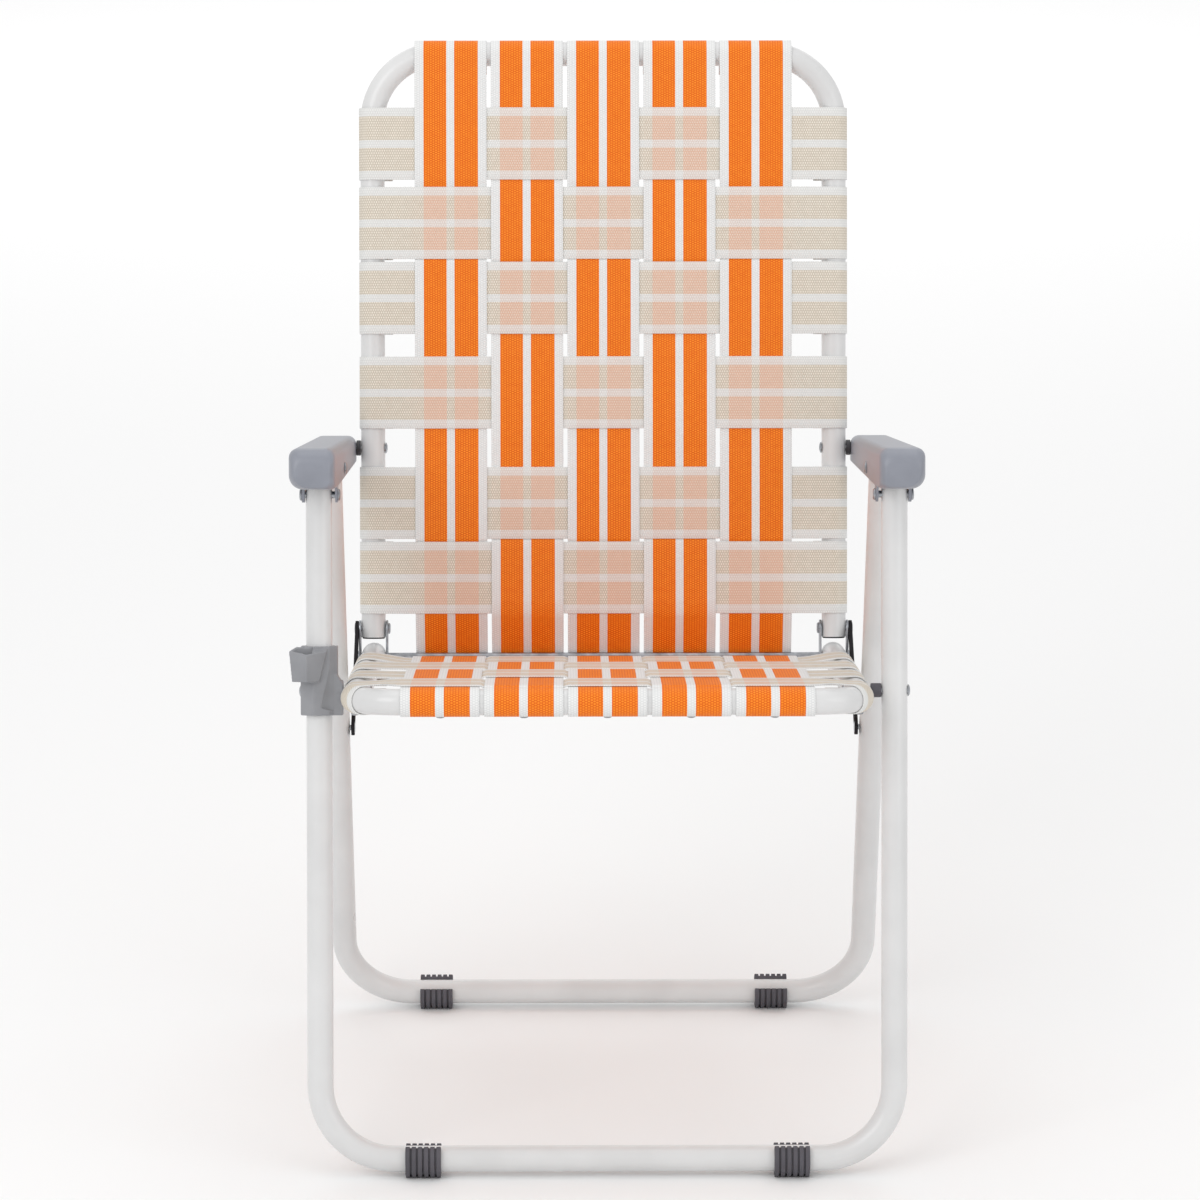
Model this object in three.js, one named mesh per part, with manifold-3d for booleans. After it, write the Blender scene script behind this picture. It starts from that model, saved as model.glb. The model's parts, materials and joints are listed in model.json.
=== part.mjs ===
// Folding webbed lawn chair: two U legs, a seat U and a backrest U of round steel tube, joined as
// a parallelogram under two plastic armrests, and woven with flat webbing.
// Millimetres. +X to the right as seen from the front, +Y to the rear, +Z up. The origin is on
// the floor, in the middle of the chair. The side view is drawn with y from the front rail.
import * as THREE from 'three';
import { mergeVertices } from 'three/addons/utils/BufferGeometryUtils.js';
import Module from 'manifold-3d';

const wasm = await Module();
wasm.setup();

// Clearances that every piece shares.
const gap = 0.3;
const overrun = 1;

// Round tube of all four frames, and the facets of a full turn of it.
const tube_diameter = 22;
const tube_wall = 1.2;
const tube_facets = 16;
const bore_facets = 8;
const bend_steps = 6;
const tube_radius = tube_diameter / 2;

// Webbing, and the space beside and between its long straps.
const strap_width = 65.5;
const strap_thickness = 1;
const strap_gap = 3.8;
const strap_count = 5;
const strap_tail = 18;
const side_margin = 27.65;
const wrap_steps = 8;

// Spaces between cross straps as shares of a strap's width, from the hinge up and from the rod
// forward, and the spaces left at both ends.
const back_low_space = 13.75;
const back_space_shares = [0.038, 0.534, 0.313, 0.038, 0.099];
const back_top_space = 49.25;
const seat_rear_space = 104.25;
const seat_space_shares = [0.435, 0.298, 0.42];
const seat_front_space = 2.25;
const seat_sag = 5;
const seat_sag_shares = [1, 0.4, 0.15, 0];
const front_wrap_width = 36;
const front_wrap_shift = 7.5;
const long_strap_split = 10;

// Front legs and the shape of the fold, seen from the side.
const lean_degrees = 12;
const rail_height = 15;
const leg_offset = 2.5;
const leg_bend_radius = 62;
const seat_pin_up = 394;
const tube_end_over_pin = 12;

// Rear legs.
const rear_foot_back = 455;
const strut_pin_down = 277;

// Seat frame.
const seat_slope_degrees = 9.2;
const seat_pin_space = 1.5;
const seat_bend_radius = 38;
const pin_above_rail = 3;
const rail_end_over_rod = 12;

// Backrest frame.
const hinge_above_rod = 25;
const back_end_below_hinge = 8;
const back_bend_radius = 62;

// Armrest, a plastic channel that is open below.
const arm_slope_degrees = 10.3;
const arm_rear_pin_back = 130;
const arm_rear_pin_up = 18.5;
const arm_wall = 2.1;
const arm_overhang = 8.5;
const arm_nose_reach = 60;
const arm_tail_reach = 18;
const arm_top = 40.3;
const arm_nose_height = 37;
const arm_skirt_front = 1;
const arm_skirt_rear = 17;
const arm_corner_radius = 8;
const arm_inner_corner_radius = 5;
const arm_nose_radius = 12;
const ear_clearance = 0.6;
const ear_wall = 2.5;
const ear_drop = 9;
const ear_half_length = 17;

// Hinge plates, struts and the rod between the hinges.
const plate_thickness = 2;
const plate_radius = 7.5;
const strut_thickness = 3;
const strut_radius = 7;
const rod_diameter = 5.5;

// Pins, rivets and bushes.
const pin_diameter = 6;
const rivet_diameter = 5;
const pin_facets = 10;
const hole_facets = 12;
const head_radius = 5;
const head_height = 2;
const head_top_share = 0.6;
const head_edge_share = 0.5;
const rod_head_share = 1.8;
const flat_head_height = 0.7;
const nut_height = 3.5;
const arm_bush_radius = 7;
const seat_bush_radius = 6;

// Feet clipped round the rails.
const foot_width = 30;
const foot_bend_space = 6.9;
const foot_wall = 3.4;
const foot_rib_height = 1.4;
const foot_rib_width = 3;
const foot_rib_count = 6;
const foot_facets = 9;
const foot_open_degrees = 80;
const foot_rib_set_back_degrees = 4;

// Accessory bracket round the left front leg.
const bracket_below_pin = 20;
const bracket_above_pin = 38;
const bracket_wall = 3.5;
const bracket_boss_radius = 7;
const socket_width = 25;
const socket_length = 16;
const socket_height = 31;
const socket_taper = 3;
const socket_wall = 2;
const socket_offset = 9.5;
const socket_floor = 3;

// Plug in each rear end of the seat rails.
const plug_dome = 5;
const plug_spigot = 8;
const plug_radius_shares = [0.85, 0.45];
const plug_rise_shares = [0.6, 0.95];

// Widths from the middle plane outwards: webbing, seat rail, plate, strut, rear leg, front leg.
const strap_pitch = strap_width + strap_gap;
const webbing_half_width = (strap_count * strap_pitch - strap_gap) / 2;
const seat_half_width = webbing_half_width + side_margin + tube_radius;
const tube_face = seat_half_width + tube_radius;
const plate_outer = tube_face + gap;
const strut_face = plate_outer + plate_thickness + gap;
const strut_rivet_root = strut_face + strut_thickness + gap;
const rear_half_width = strut_rivet_root + flat_head_height + gap + tube_radius;
const front_half_width = rear_half_width + leg_offset;
const arm_inner_face = rear_half_width - tube_radius - gap - arm_wall;
const ear_face = front_half_width + tube_radius + ear_clearance;
const arm_outer_face = ear_face + ear_wall + arm_overhang;
const bracket_inner_face = tube_face + strap_thickness + 3 * gap;
const socket_half_width = front_half_width + socket_offset;
const foot_half_spacing = rear_half_width - leg_bend_radius - foot_width / 2 - foot_bend_space;

// Middles of the cross straps, from the hinge up and from the rod forward.
function rowMiddles(first_space, space_shares) {
  const middles = [first_space + strap_width / 2];
  for (const share of space_shares) {
    middles.push(middles[middles.length - 1] + strap_width * (1 + share));
  }
  return middles;
}

const low_rows = rowMiddles(back_low_space, back_space_shares);
const seat_rows = rowMiddles(seat_rear_space, seat_space_shares);
const back_rise = low_rows[low_rows.length - 1] + strap_width / 2 + back_top_space;
const seat_length = seat_rows[seat_rows.length - 1] + strap_width / 2 + seat_front_space;

// The seat's pins sit just behind the wraps of the front strap.
const front_wrap_rear = seat_rows[seat_rows.length - 1] - front_wrap_shift - front_wrap_width / 2;
const seat_depth = front_wrap_rear - seat_bush_radius - seat_pin_space;

// The armrest's bolt goes through the backrest's tube in the widest space between two straps.
const back_pin_up = (low_rows[1] + low_rows[2]) / 2;
const arm_pin_up = seat_pin_up + back_pin_up;

const degrees = Math.PI / 180;
const lean = lean_degrees * degrees;
const seat_slope = seat_slope_degrees * degrees;
const arm_slope = arm_slope_degrees * degrees;

// Side-view points are Vector2(y, z).
const point = (y, z) => new THREE.Vector2(y, z);
const heading = (angle) => point(Math.cos(angle), Math.sin(angle));
const along = (start, direction, distance) => start.clone().addScaledVector(direction, distance);

const leg_up = heading(Math.PI / 2 - lean);
const seat_back = heading(-seat_slope);
const seat_up = heading(Math.PI / 2 - seat_slope);
const arm_back = heading(-arm_slope);
const arm_up = heading(Math.PI / 2 - arm_slope);

const front_foot = point(0, rail_height);
const rear_foot = point(rear_foot_back, rail_height);
const seat_pin = along(front_foot, leg_up, seat_pin_up);
const arm_pin = along(front_foot, leg_up, arm_pin_up);
const rod = along(along(seat_pin, seat_up, -pin_above_rail), seat_back, seat_depth);
const hinge = along(rod, seat_up, hinge_above_rod);
const back_pin = along(hinge, leg_up, back_pin_up);
const rear_pin = along(along(arm_pin, arm_back, arm_rear_pin_back), arm_up, arm_rear_pin_up);
const rear_up = rear_pin.clone().sub(rear_foot).normalize();
const strut_pin = along(rear_pin, rear_up, -strut_pin_down);

// Heights of the webbing over the tubes' middle line.
const weave_step = (strap_thickness + gap) / 2;
const web_low = tube_radius + gap + strap_thickness / 2;
const web_middle = web_low + weave_step;

// Materials, one per finish.
const finish = (colour, roughness, metalness) =>
  new THREE.MeshStandardMaterial({ color: colour, roughness, metalness });
const white_paint = () => finish('#ececec', 0.3, 0.1);
const grey_plastic = () => finish('#8c8f99', 0.45, 0);
const dark_plastic = () => finish('#56535a', 0.6, 0);
const zinc = () => finish('#c4c6c8', 0.3, 0.9);
const orange_webbing = () => finish('#f0731a', 0.6, 0);
const beige_webbing = () => finish('#ded5c6', 0.6, 0);

// A frame of reference that leans by an angle about X, with its origin at a side-view point.
function leaningGroup(origin, angle) {
  const group = new THREE.Group();
  group.position.set(0, origin.x, origin.y);
  group.rotation.x = angle;
  return group;
}

function mesh(name, geometry, material) {
  const piece = new THREE.Mesh(geometry, material);
  piece.name = name;
  return piece;
}

// Solids for the boolean work.
function toSolid(geometry) {
  const bare = geometry.clone();
  bare.deleteAttribute('normal');
  bare.deleteAttribute('uv');
  const merged = mergeVertices(bare);
  return new wasm.Manifold(new wasm.Mesh({
    numProp: 3,
    vertProperties: new Float32Array(merged.attributes.position.array),
    triVerts: new Uint32Array(merged.index.array),
  }));
}

function toGeometry(solid) {
  const { vertProperties, triVerts } = solid.getMesh();
  const geometry = new THREE.BufferGeometry();
  geometry.setAttribute('position', new THREE.BufferAttribute(vertProperties, 3));
  geometry.setIndex(new THREE.BufferAttribute(triVerts, 1));
  geometry.computeVertexNormals();
  return geometry;
}

const join = (...geometries) =>
  toGeometry(geometries.map(toSolid).reduce((sum, solid) => sum.add(solid)));
const cut = (geometry, ...tools) =>
  toGeometry(tools.map(toSolid).reduce((left, solid) => left.subtract(solid), toSolid(geometry)));
const overlap = (...geometries) =>
  toGeometry(geometries.map(toSolid).reduce((left, solid) => left.intersect(solid)));

// A round bar along X between two places, at (y, z) of its frame.
function barX(radius, start, end, y, z, facets) {
  const geometry = new THREE.CylinderGeometry(radius, radius, Math.abs(end - start), facets);
  geometry.rotateZ(Math.PI / 2);
  return geometry.translate((start + end) / 2, y, z);
}

const holeX = (diameter, start, end, y, z) =>
  barX(diameter / 2 + gap, start, end, y, z, hole_facets);

// A bent tube's middle line: straight runs keep only their ends, bends get even steps.
class BentLine extends THREE.Curve {
  constructor(corners, radius) {
    super();
    this.stations = [];
    this.headings = [];
    const last = corners.length - 1;
    this.add(corners[0], corners[1].clone().sub(corners[0]));
    for (let i = 1; i < last; i += 1) {
      this.addBend(corners[i - 1], corners[i], corners[i + 1], radius);
    }
    this.add(corners[last], corners[last].clone().sub(corners[last - 1]));
  }

  add(place, direction) {
    this.stations.push(place.clone());
    this.headings.push(direction.clone().normalize());
  }

  addBend(before, corner, after, radius) {
    const into = corner.clone().sub(before).normalize();
    const out = after.clone().sub(corner).normalize();
    const turn = into.angleTo(out);
    const setback = radius * Math.tan(turn / 2);
    const start = corner.clone().addScaledVector(into, -setback);
    const inward = out.clone().addScaledVector(into, -into.dot(out)).normalize();
    for (let step = 0; step <= bend_steps; step += 1) {
      const angle = turn * step / bend_steps;
      const place = start.clone()
        .addScaledVector(into, radius * Math.sin(angle))
        .addScaledVector(inward, radius * (1 - Math.cos(angle)));
      const direction = into.clone().multiplyScalar(Math.cos(angle))
        .addScaledVector(inward, Math.sin(angle));
      this.add(place, direction);
    }
  }

  at(list, share) {
    return list[Math.round(share * (list.length - 1))].clone();
  }

  getPointAt(share, target = new THREE.Vector3()) {
    return target.copy(this.at(this.stations, share));
  }

  getTangentAt(share, target = new THREE.Vector3()) {
    return target.copy(this.at(this.headings, share));
  }
}

function ring(radius, facets) {
  const shape = [];
  for (let i = 0; i < facets; i += 1) {
    const angle = 2 * Math.PI * (i + 0.5) / facets;
    shape.push(new THREE.Vector2(radius * Math.cos(angle), radius * Math.sin(angle)));
  }
  return shape;
}

function bentTube(corners, radius) {
  const line = new BentLine(corners, radius);
  const section = new THREE.Shape(ring(tube_radius, tube_facets));
  section.holes.push(new THREE.Path(ring(tube_radius - tube_wall, bore_facets)));
  return new THREE.ExtrudeGeometry(section, {
    steps: line.stations.length - 1,
    extrudePath: line,
  });
}

// A U of tube in the XZ plane of its frame: open ends at one height, straight rail at the other.
function uTube(half_width, ends, rail, radius) {
  return bentTube([
    new THREE.Vector3(-half_width, 0, ends),
    new THREE.Vector3(-half_width, 0, rail),
    new THREE.Vector3(half_width, 0, rail),
    new THREE.Vector3(half_width, 0, ends),
  ], radius);
}

// Side-view point in a leaning frame: y to the rear and z up along it.
function inFrame(place, origin, up) {
  const offset = place.clone().sub(origin);
  return point(offset.x * up.y - offset.y * up.x, offset.dot(up));
}

// Both sides' cross holes of one pin through a U frame.
function pinHoles(diameter, centre, start, end) {
  return [-1, 1].map((side) => holeX(diameter, side * start, side * end, centre.x, centre.y));
}

function frontLegFrame() {
  const far = front_half_width + tube_radius + overrun;
  const near = front_half_width - tube_radius - overrun;
  const legs = uTube(front_half_width, arm_pin_up + tube_end_over_pin, 0, leg_bend_radius);
  return cut(
    legs,
    ...pinHoles(pin_diameter, point(0, arm_pin_up), near, far),
    ...pinHoles(pin_diameter, point(0, seat_pin_up), near, far),
  );
}

function rearLegFrame() {
  const far = rear_half_width + tube_radius + overrun;
  const near = rear_half_width - tube_radius - overrun;
  const length = rear_pin.distanceTo(rear_foot);
  const legs = uTube(rear_half_width, tube_end_over_pin, -length, leg_bend_radius);
  return cut(
    legs,
    ...pinHoles(pin_diameter, point(0, 0), near, far),
    ...pinHoles(rivet_diameter, point(0, -strut_pin_down), near, far),
  );
}

function backFrame() {
  const far = seat_half_width + tube_radius + overrun;
  const near = seat_half_width - tube_radius - overrun;
  const frame = uTube(seat_half_width, -back_end_below_hinge, back_rise, back_bend_radius);
  return cut(
    frame,
    ...pinHoles(rivet_diameter, point(0, 0), near, far),
    ...pinHoles(pin_diameter, point(0, back_pin_up), near, far),
  );
}

// The seat's U lies flat, so it is bent upright and then laid down.
function seatFrame() {
  const far = seat_half_width + tube_radius + overrun;
  const near = seat_half_width - tube_radius - overrun;
  const frame = uTube(seat_half_width, rail_end_over_rod, -seat_length, seat_bend_radius);
  frame.rotateX(-Math.PI / 2);
  return cut(
    frame,
    ...pinHoles(rod_diameter, point(0, 0), near, far),
    ...pinHoles(pin_diameter, point(-seat_depth, pin_above_rail), near, far),
  );
}

// A turned piece on the X axis from (place along X, radius) pairs; it starts and ends on the axis.
function turnedX(profile, facets) {
  const geometry = new THREE.LatheGeometry(
    profile.map(([place, radius]) => new THREE.Vector2(radius, place)),
    facets,
  );
  return geometry.rotateZ(-Math.PI / 2);
}

// A pin along X with a domed head at its outer end, and one at its inner end unless that head
// has no height. Its places run outwards from the middle plane.
function headedPin(side, inner, outer, diameter, inner_head, outer_head) {
  const radius = diameter / 2;
  const dome = [
    [inner - inner_head, head_radius * head_top_share],
    [inner - inner_head * head_edge_share, head_radius],
    [inner, head_radius],
  ];
  const profile = [
    [inner - inner_head, 0],
    ...(inner_head > 0 ? dome : []),
    [inner, radius],
    [outer, radius],
    [outer, head_radius],
    [outer + outer_head * head_edge_share, head_radius],
    [outer + outer_head, head_radius * head_top_share],
    [outer + outer_head, 0],
  ];
  const geometry = turnedX(profile, pin_facets);
  return side < 0 ? geometry.rotateY(Math.PI) : geometry;
}

// A plain bush round a pin.
function bush(side, start, end, radius, bore) {
  return cut(
    barX(radius, side * start, side * end, 0, 0, tube_facets),
    holeX(bore, side * (start - overrun), side * (end + overrun), 0, 0),
  );
}

// A flat link with round ends, along Z of its frame from the origin, between two places along X.
function flatLink(side, start, thickness, length, radius) {
  const outline = new THREE.Shape();
  outline.absarc(0, length, radius, 0, Math.PI, false);
  outline.absarc(0, 0, radius, Math.PI, 2 * Math.PI, false);
  const link = new THREE.ExtrudeGeometry(outline, {
    depth: thickness,
    bevelEnabled: false,
    curveSegments: 8,
  });
  link.rotateZ(Math.PI / 2).rotateY(Math.PI / 2);
  link.translate(side < 0 ? -start - thickness : start, 0, 0);
  return link;
}

function hingePlate(side, start) {
  const link = flatLink(side, start, plate_thickness, hinge_above_rod, plate_radius);
  const near = side * (start - overrun);
  const far = side * (start + plate_thickness + overrun);
  return cut(
    link,
    holeX(rod_diameter, near, far, 0, 0),
    holeX(rivet_diameter, near, far, 0, hinge_above_rod),
  );
}

// The lower pivot of a strut shows only as a flat head on its inner face.
function strut(side) {
  const length = strut_down.length();
  const near = side * (strut_face - overrun);
  const far = side * (strut_face + strut_thickness + overrun);
  const head_face = side * (strut_face - flat_head_height);
  const head_root = side * (strut_face + flat_head_height);
  return cut(
    join(
      flatLink(side, strut_face, strut_thickness, length, strut_radius),
      barX(head_radius, head_face, head_root, 0, length, hole_facets),
    ),
    holeX(rivet_diameter, near, far, 0, 0),
  );
}

// Webbing from the line that its middle follows, as an outline half a thickness to each side.
function bandOutline(line) {
  const left = [];
  const right = [];
  for (let i = 0; i < line.length; i += 1) {
    const before = line[Math.max(i - 1, 0)];
    const after = line[Math.min(i + 1, line.length - 1)];
    const into = line[i].clone().sub(before).normalize();
    const out = after.clone().sub(line[i]).normalize();
    const middle = into.clone().add(out).normalize();
    const normal = point(-middle.y, middle.x);
    const straight = i === 0 ? out : into;
    const stretch = strap_thickness / 2 / Math.max(middle.dot(straight), 0.5);
    left.push(along(line[i], normal, stretch));
    right.push(along(line[i], normal, -stretch));
  }
  return new THREE.Shape([...left, ...right.reverse()]);
}

function band(line, width) {
  const depth_from = -width / 2;
  return new THREE.ExtrudeGeometry(bandOutline(line), { depth: width, bevelEnabled: false })
    .translate(0, 0, depth_from);
}

// The band's line is in (rear, up) of the frame and its width is along X.
function bandAcrossX(line, width, x) {
  const basis = new THREE.Matrix4().makeBasis(
    new THREE.Vector3(0, 1, 0),
    new THREE.Vector3(0, 0, 1),
    new THREE.Vector3(1, 0, 0),
  );
  return band(line, width).applyMatrix4(basis).translate(x, 0, 0);
}

// The band's line is in (x, outward) and its width runs along the frame's tubes.
function bandAcrossFrame(line, width, outward, centre) {
  const basis = new THREE.Matrix4().makeBasis(
    new THREE.Vector3(1, 0, 0),
    outward,
    new THREE.Vector3(1, 0, 0).cross(outward),
  );
  return band(line, width).applyMatrix4(basis).translate(centre.x, centre.y, centre.z);
}

function arc(centre, radius, start, end, steps) {
  const places = [];
  for (let i = 0; i <= steps; i += 1) {
    places.push(along(centre, heading(start + (end - start) * i / steps), radius));
  }
  return places;
}

const column_centre = (column) => (column - (strap_count - 1) / 2) * strap_pitch;
const long_strap_on_top = (column, row) => (column + row) % 2 === 0;

// Line of a cross strap in (x, outward): a tail behind one tube, round it, over and under the
// long straps, and round the other tube.
function crossLine(row, sag) {
  const turn = Math.PI;
  const line = [point(-seat_half_width + strap_tail, -web_low)];
  line.push(...arc(point(-seat_half_width, 0), web_low, -turn / 2, -3 * turn / 2, wrap_steps));
  for (let column = 0; column < strap_count; column += 1) {
    const height = web_middle - sag + (long_strap_on_top(column, row) ? -weave_step : weave_step);
    line.push(point(column_centre(column) - strap_width / 2, height));
    line.push(point(column_centre(column) + strap_width / 2, height));
  }
  line.push(...arc(point(seat_half_width, 0), web_low, turn / 2, -turn / 2, wrap_steps));
  line.push(point(seat_half_width - strap_tail, -web_low));
  return line;
}

// Rows are counted from the top of the backrest to the front of the seat.
const back_rows = [...low_rows].reverse();
const back_row_count = back_rows.length;

function backCrossStrap(row) {
  const outward = new THREE.Vector3(0, -1, 0);
  const centre = new THREE.Vector3(0, 0, back_rows[row]);
  return bandAcrossFrame(crossLine(row, 0), strap_width, outward, centre);
}

function seatCrossStrap(index) {
  const outward = new THREE.Vector3(0, 0, 1);
  const centre = new THREE.Vector3(0, -seat_rows[index], 0);
  const line = crossLine(back_row_count + index, seat_sag * seat_sag_shares[index]);
  const strap = bandAcrossFrame(line, strap_width, outward, centre);
  return index < seat_rows.length - 1 ? strap : trimFrontWraps(strap);
}

// The front strap lies partly over the seat's bends, so its wraps are narrower than the strap.
function trimFrontWraps(strap) {
  const centre = -seat_rows[seat_rows.length - 1] + front_wrap_shift;
  const trims = [-1, 1].flatMap((side) => [-1, 1].map((end) => {
    const length = strap_width;
    const box = new THREE.BoxGeometry(tube_diameter * 2, length, tube_diameter * 2);
    const inner = column_centre(strap_count - 1) + strap_width / 2 + strap_tail;
    const x = side * (inner + tube_diameter);
    const y = centre + end * (front_wrap_width / 2 + length / 2);
    return box.translate(x, y, 0);
  }));
  return cut(strap, ...trims);
}

// Where a straight line from a place touches a circle, on the side given by the sign.
function tangentPoint(from, centre, radius, side) {
  const offset = from.clone().sub(centre);
  const spread = Math.acos(radius / offset.length());
  const base = Math.atan2(offset.y, offset.x);
  return along(centre, heading(base + side * spread), radius);
}

// Long strap on the backrest in (rear, up): from just above the rod, over and under the cross
// straps, over the top tube and down behind it.
const rod_wrap_radius = rod_diameter / 2 + gap + strap_thickness / 2;
const rod_in_back = inFrame(rod, hinge, leg_up);

function lowestCrossing(column) {
  const row = back_row_count - 1;
  const height = web_middle + (long_strap_on_top(column, row) ? weave_step : -weave_step);
  return point(-height, back_rows[row] - strap_width / 2);
}

function splitPoint(column, share_gap) {
  const from = lowestCrossing(column);
  const touch = tangentPoint(from, rod_in_back, rod_wrap_radius, -1);
  const direction = from.clone().sub(touch).normalize();
  return along(touch, direction, long_strap_split - share_gap);
}

function backLongLine(column) {
  const line = [splitPoint(column, 0)];
  for (let row = back_row_count - 1; row >= 0; row -= 1) {
    const height = web_middle + (long_strap_on_top(column, row) ? weave_step : -weave_step);
    line.push(point(-height, back_rows[row] - strap_width / 2));
    line.push(point(-height, back_rows[row] + strap_width / 2));
  }
  line.push(...arc(point(0, back_rise), web_low, Math.PI, 0, wrap_steps));
  line.push(point(web_low, back_rise - strap_tail));
  return line;
}

// Long strap on the seat in (rear, up) of the seat: round behind the rod and under it, forward
// over and under the cross straps, over the front tube and back below it.
function seatLongLine(column) {
  const split = splitPoint(column, gap * 2);
  const world = along(along(hinge, leg_up, split.y), point(leg_up.y, -leg_up.x), split.x);
  const start = inFrame(world, rod, seat_up);
  const heights = seat_rows.map((centre, index) => {
    const sign = long_strap_on_top(column, back_row_count + index) ? 1 : -1;
    return web_middle - seat_sag * seat_sag_shares[index] + sign * weave_step;
  });
  const first = point(-seat_rows[0] + strap_width / 2, heights[0]);
  const rear_touch = tangentPoint(start, point(0, 0), rod_wrap_radius, -1);
  const low_touch = tangentPoint(first, point(0, 0), rod_wrap_radius, 1);
  const from = Math.atan2(rear_touch.y, rear_touch.x);
  const to = Math.atan2(low_touch.y, low_touch.x);
  const line = [start, ...arc(point(0, 0), rod_wrap_radius, from, to, wrap_steps / 2)];
  seat_rows.forEach((centre, index) => {
    line.push(point(-centre + strap_width / 2, heights[index]));
    line.push(point(-centre - strap_width / 2, heights[index]));
  });
  const turn = Math.PI;
  line.push(...arc(point(-seat_length, 0), web_low, turn / 2, 3 * turn / 2, wrap_steps));
  line.push(point(-seat_length + strap_tail, -web_low));
  return line;
}

// A ribbed clip that grips a rail from below, with a flat pad to stand on.
function clipSection(outer, bore, set_back) {
  const open = (foot_open_degrees / 2 + set_back) * degrees;
  const shape = new THREE.Shape();
  const start = Math.PI / 2 + open;
  const end = Math.PI / 2 - open + 2 * Math.PI;
  const half_facet = (end - start) / foot_facets / 2;
  const inner = bore / Math.cos(half_facet);
  const places = arc(point(0, 0), outer, start, end, foot_facets);
  const back = arc(point(0, 0), inner, end, start, foot_facets);
  shape.setFromPoints([...places, ...back]);
  return shape;
}

function foot() {
  const basis = new THREE.Matrix4().makeBasis(
    new THREE.Vector3(0, 1, 0),
    new THREE.Vector3(0, 0, 1),
    new THREE.Vector3(1, 0, 0),
  );
  const slab = (section, width, x) =>
    new THREE.ExtrudeGeometry(section, { depth: width, bevelEnabled: false })
      .applyMatrix4(basis).translate(x - width / 2, 0, 0);
  const wall_outer = tube_radius + foot_wall;
  const outer = wall_outer + foot_rib_height;
  const wall = clipSection(wall_outer, tube_radius + gap, 0);
  const rib = clipSection(outer, tube_radius + foot_wall / 2, foot_rib_set_back_degrees);
  const pitch = (foot_width - foot_rib_width) / (foot_rib_count - 1);
  const parts = [slab(wall, foot_width - foot_rib_height, 0)];
  for (let i = 0; i < foot_rib_count; i += 1) {
    parts.push(slab(rib, foot_rib_width, (i - (foot_rib_count - 1) / 2) * pitch));
  }
  const height = rail_height;
  const below = new THREE.BoxGeometry(foot_width * 2, outer * 3, height)
    .translate(0, 0, -height - height / 2);
  return cut(join(...parts), below);
}

// Armrest profiles in (rear, up) of the arm's frame, whose origin is the front leg's pin.
const arm_tail = back_pin.clone().sub(arm_pin).dot(arm_back) + arm_tail_reach;

function armSide(inset, floor) {
  const nose = -arm_nose_reach + inset;
  const tail = arm_tail - inset;
  const top = arm_top - inset;
  const radius = arm_nose_radius - inset;
  const nose_bottom = arm_top - arm_nose_height;
  const shape = new THREE.Shape();
  shape.moveTo(nose + radius, floor + nose_bottom);
  shape.lineTo(0, floor + arm_skirt_front);
  shape.lineTo(tail - radius, floor + arm_skirt_rear);
  shape.absarc(tail - radius, top - radius, radius, 0, Math.PI / 2, false);
  shape.absarc(nose + radius, top - radius, radius, Math.PI / 2, Math.PI, false);
  shape.absarc(nose + radius, floor + nose_bottom + radius, radius, Math.PI, 1.5 * Math.PI, false);
  return shape;
}

function alongX(shape, start, end, segments) {
  const basis = new THREE.Matrix4().makeBasis(
    new THREE.Vector3(0, 1, 0),
    new THREE.Vector3(0, 0, 1),
    new THREE.Vector3(1, 0, 0),
  );
  const low = Math.min(start, end);
  return new THREE.ExtrudeGeometry(shape, {
    depth: Math.abs(end - start),
    bevelEnabled: false,
    curveSegments: segments,
  }).applyMatrix4(basis).translate(low, 0, 0);
}

// The channel's section in (x, up), with round upper corners.
function armSection(side, inset) {
  const inner = arm_inner_face + inset;
  const outer = arm_outer_face - inset;
  const low = Math.min(side * inner, side * outer);
  const high = Math.max(side * inner, side * outer);
  const top = arm_top - inset;
  const radius = inset > 0 ? arm_inner_corner_radius : arm_corner_radius;
  const floor = -arm_top;
  const shape = new THREE.Shape();
  shape.moveTo(low, floor);
  shape.lineTo(high, floor);
  shape.absarc(high - radius, top - radius, radius, 0, Math.PI / 2, false);
  shape.absarc(low + radius, top - radius, radius, Math.PI / 2, Math.PI, false);
  const length = arm_nose_reach + arm_tail + 2 * overrun;
  return new THREE.ExtrudeGeometry(shape, {
    depth: length,
    bevelEnabled: false,
    curveSegments: 5,
  }).rotateX(Math.PI / 2).translate(0, arm_tail + overrun, 0);
}

function earShape() {
  const shape = new THREE.Shape();
  shape.moveTo(-ear_half_length, arm_top / 2);
  shape.absarc(0, 0, ear_drop, Math.PI, 2 * Math.PI, false);
  shape.lineTo(arm_rear_pin_back + ear_half_length, arm_rear_pin_up - ear_drop);
  shape.lineTo(arm_rear_pin_back + ear_half_length, arm_top - arm_wall / 2);
  shape.lineTo(-ear_half_length, arm_top - arm_wall / 2);
  return shape;
}

function lugShape() {
  const shape = new THREE.Shape();
  shape.moveTo(-ear_half_length, arm_top / 2);
  shape.absarc(0, 0, ear_drop, Math.PI, 2 * Math.PI, false);
  shape.lineTo(ear_half_length, arm_top / 2);
  return shape;
}

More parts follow.
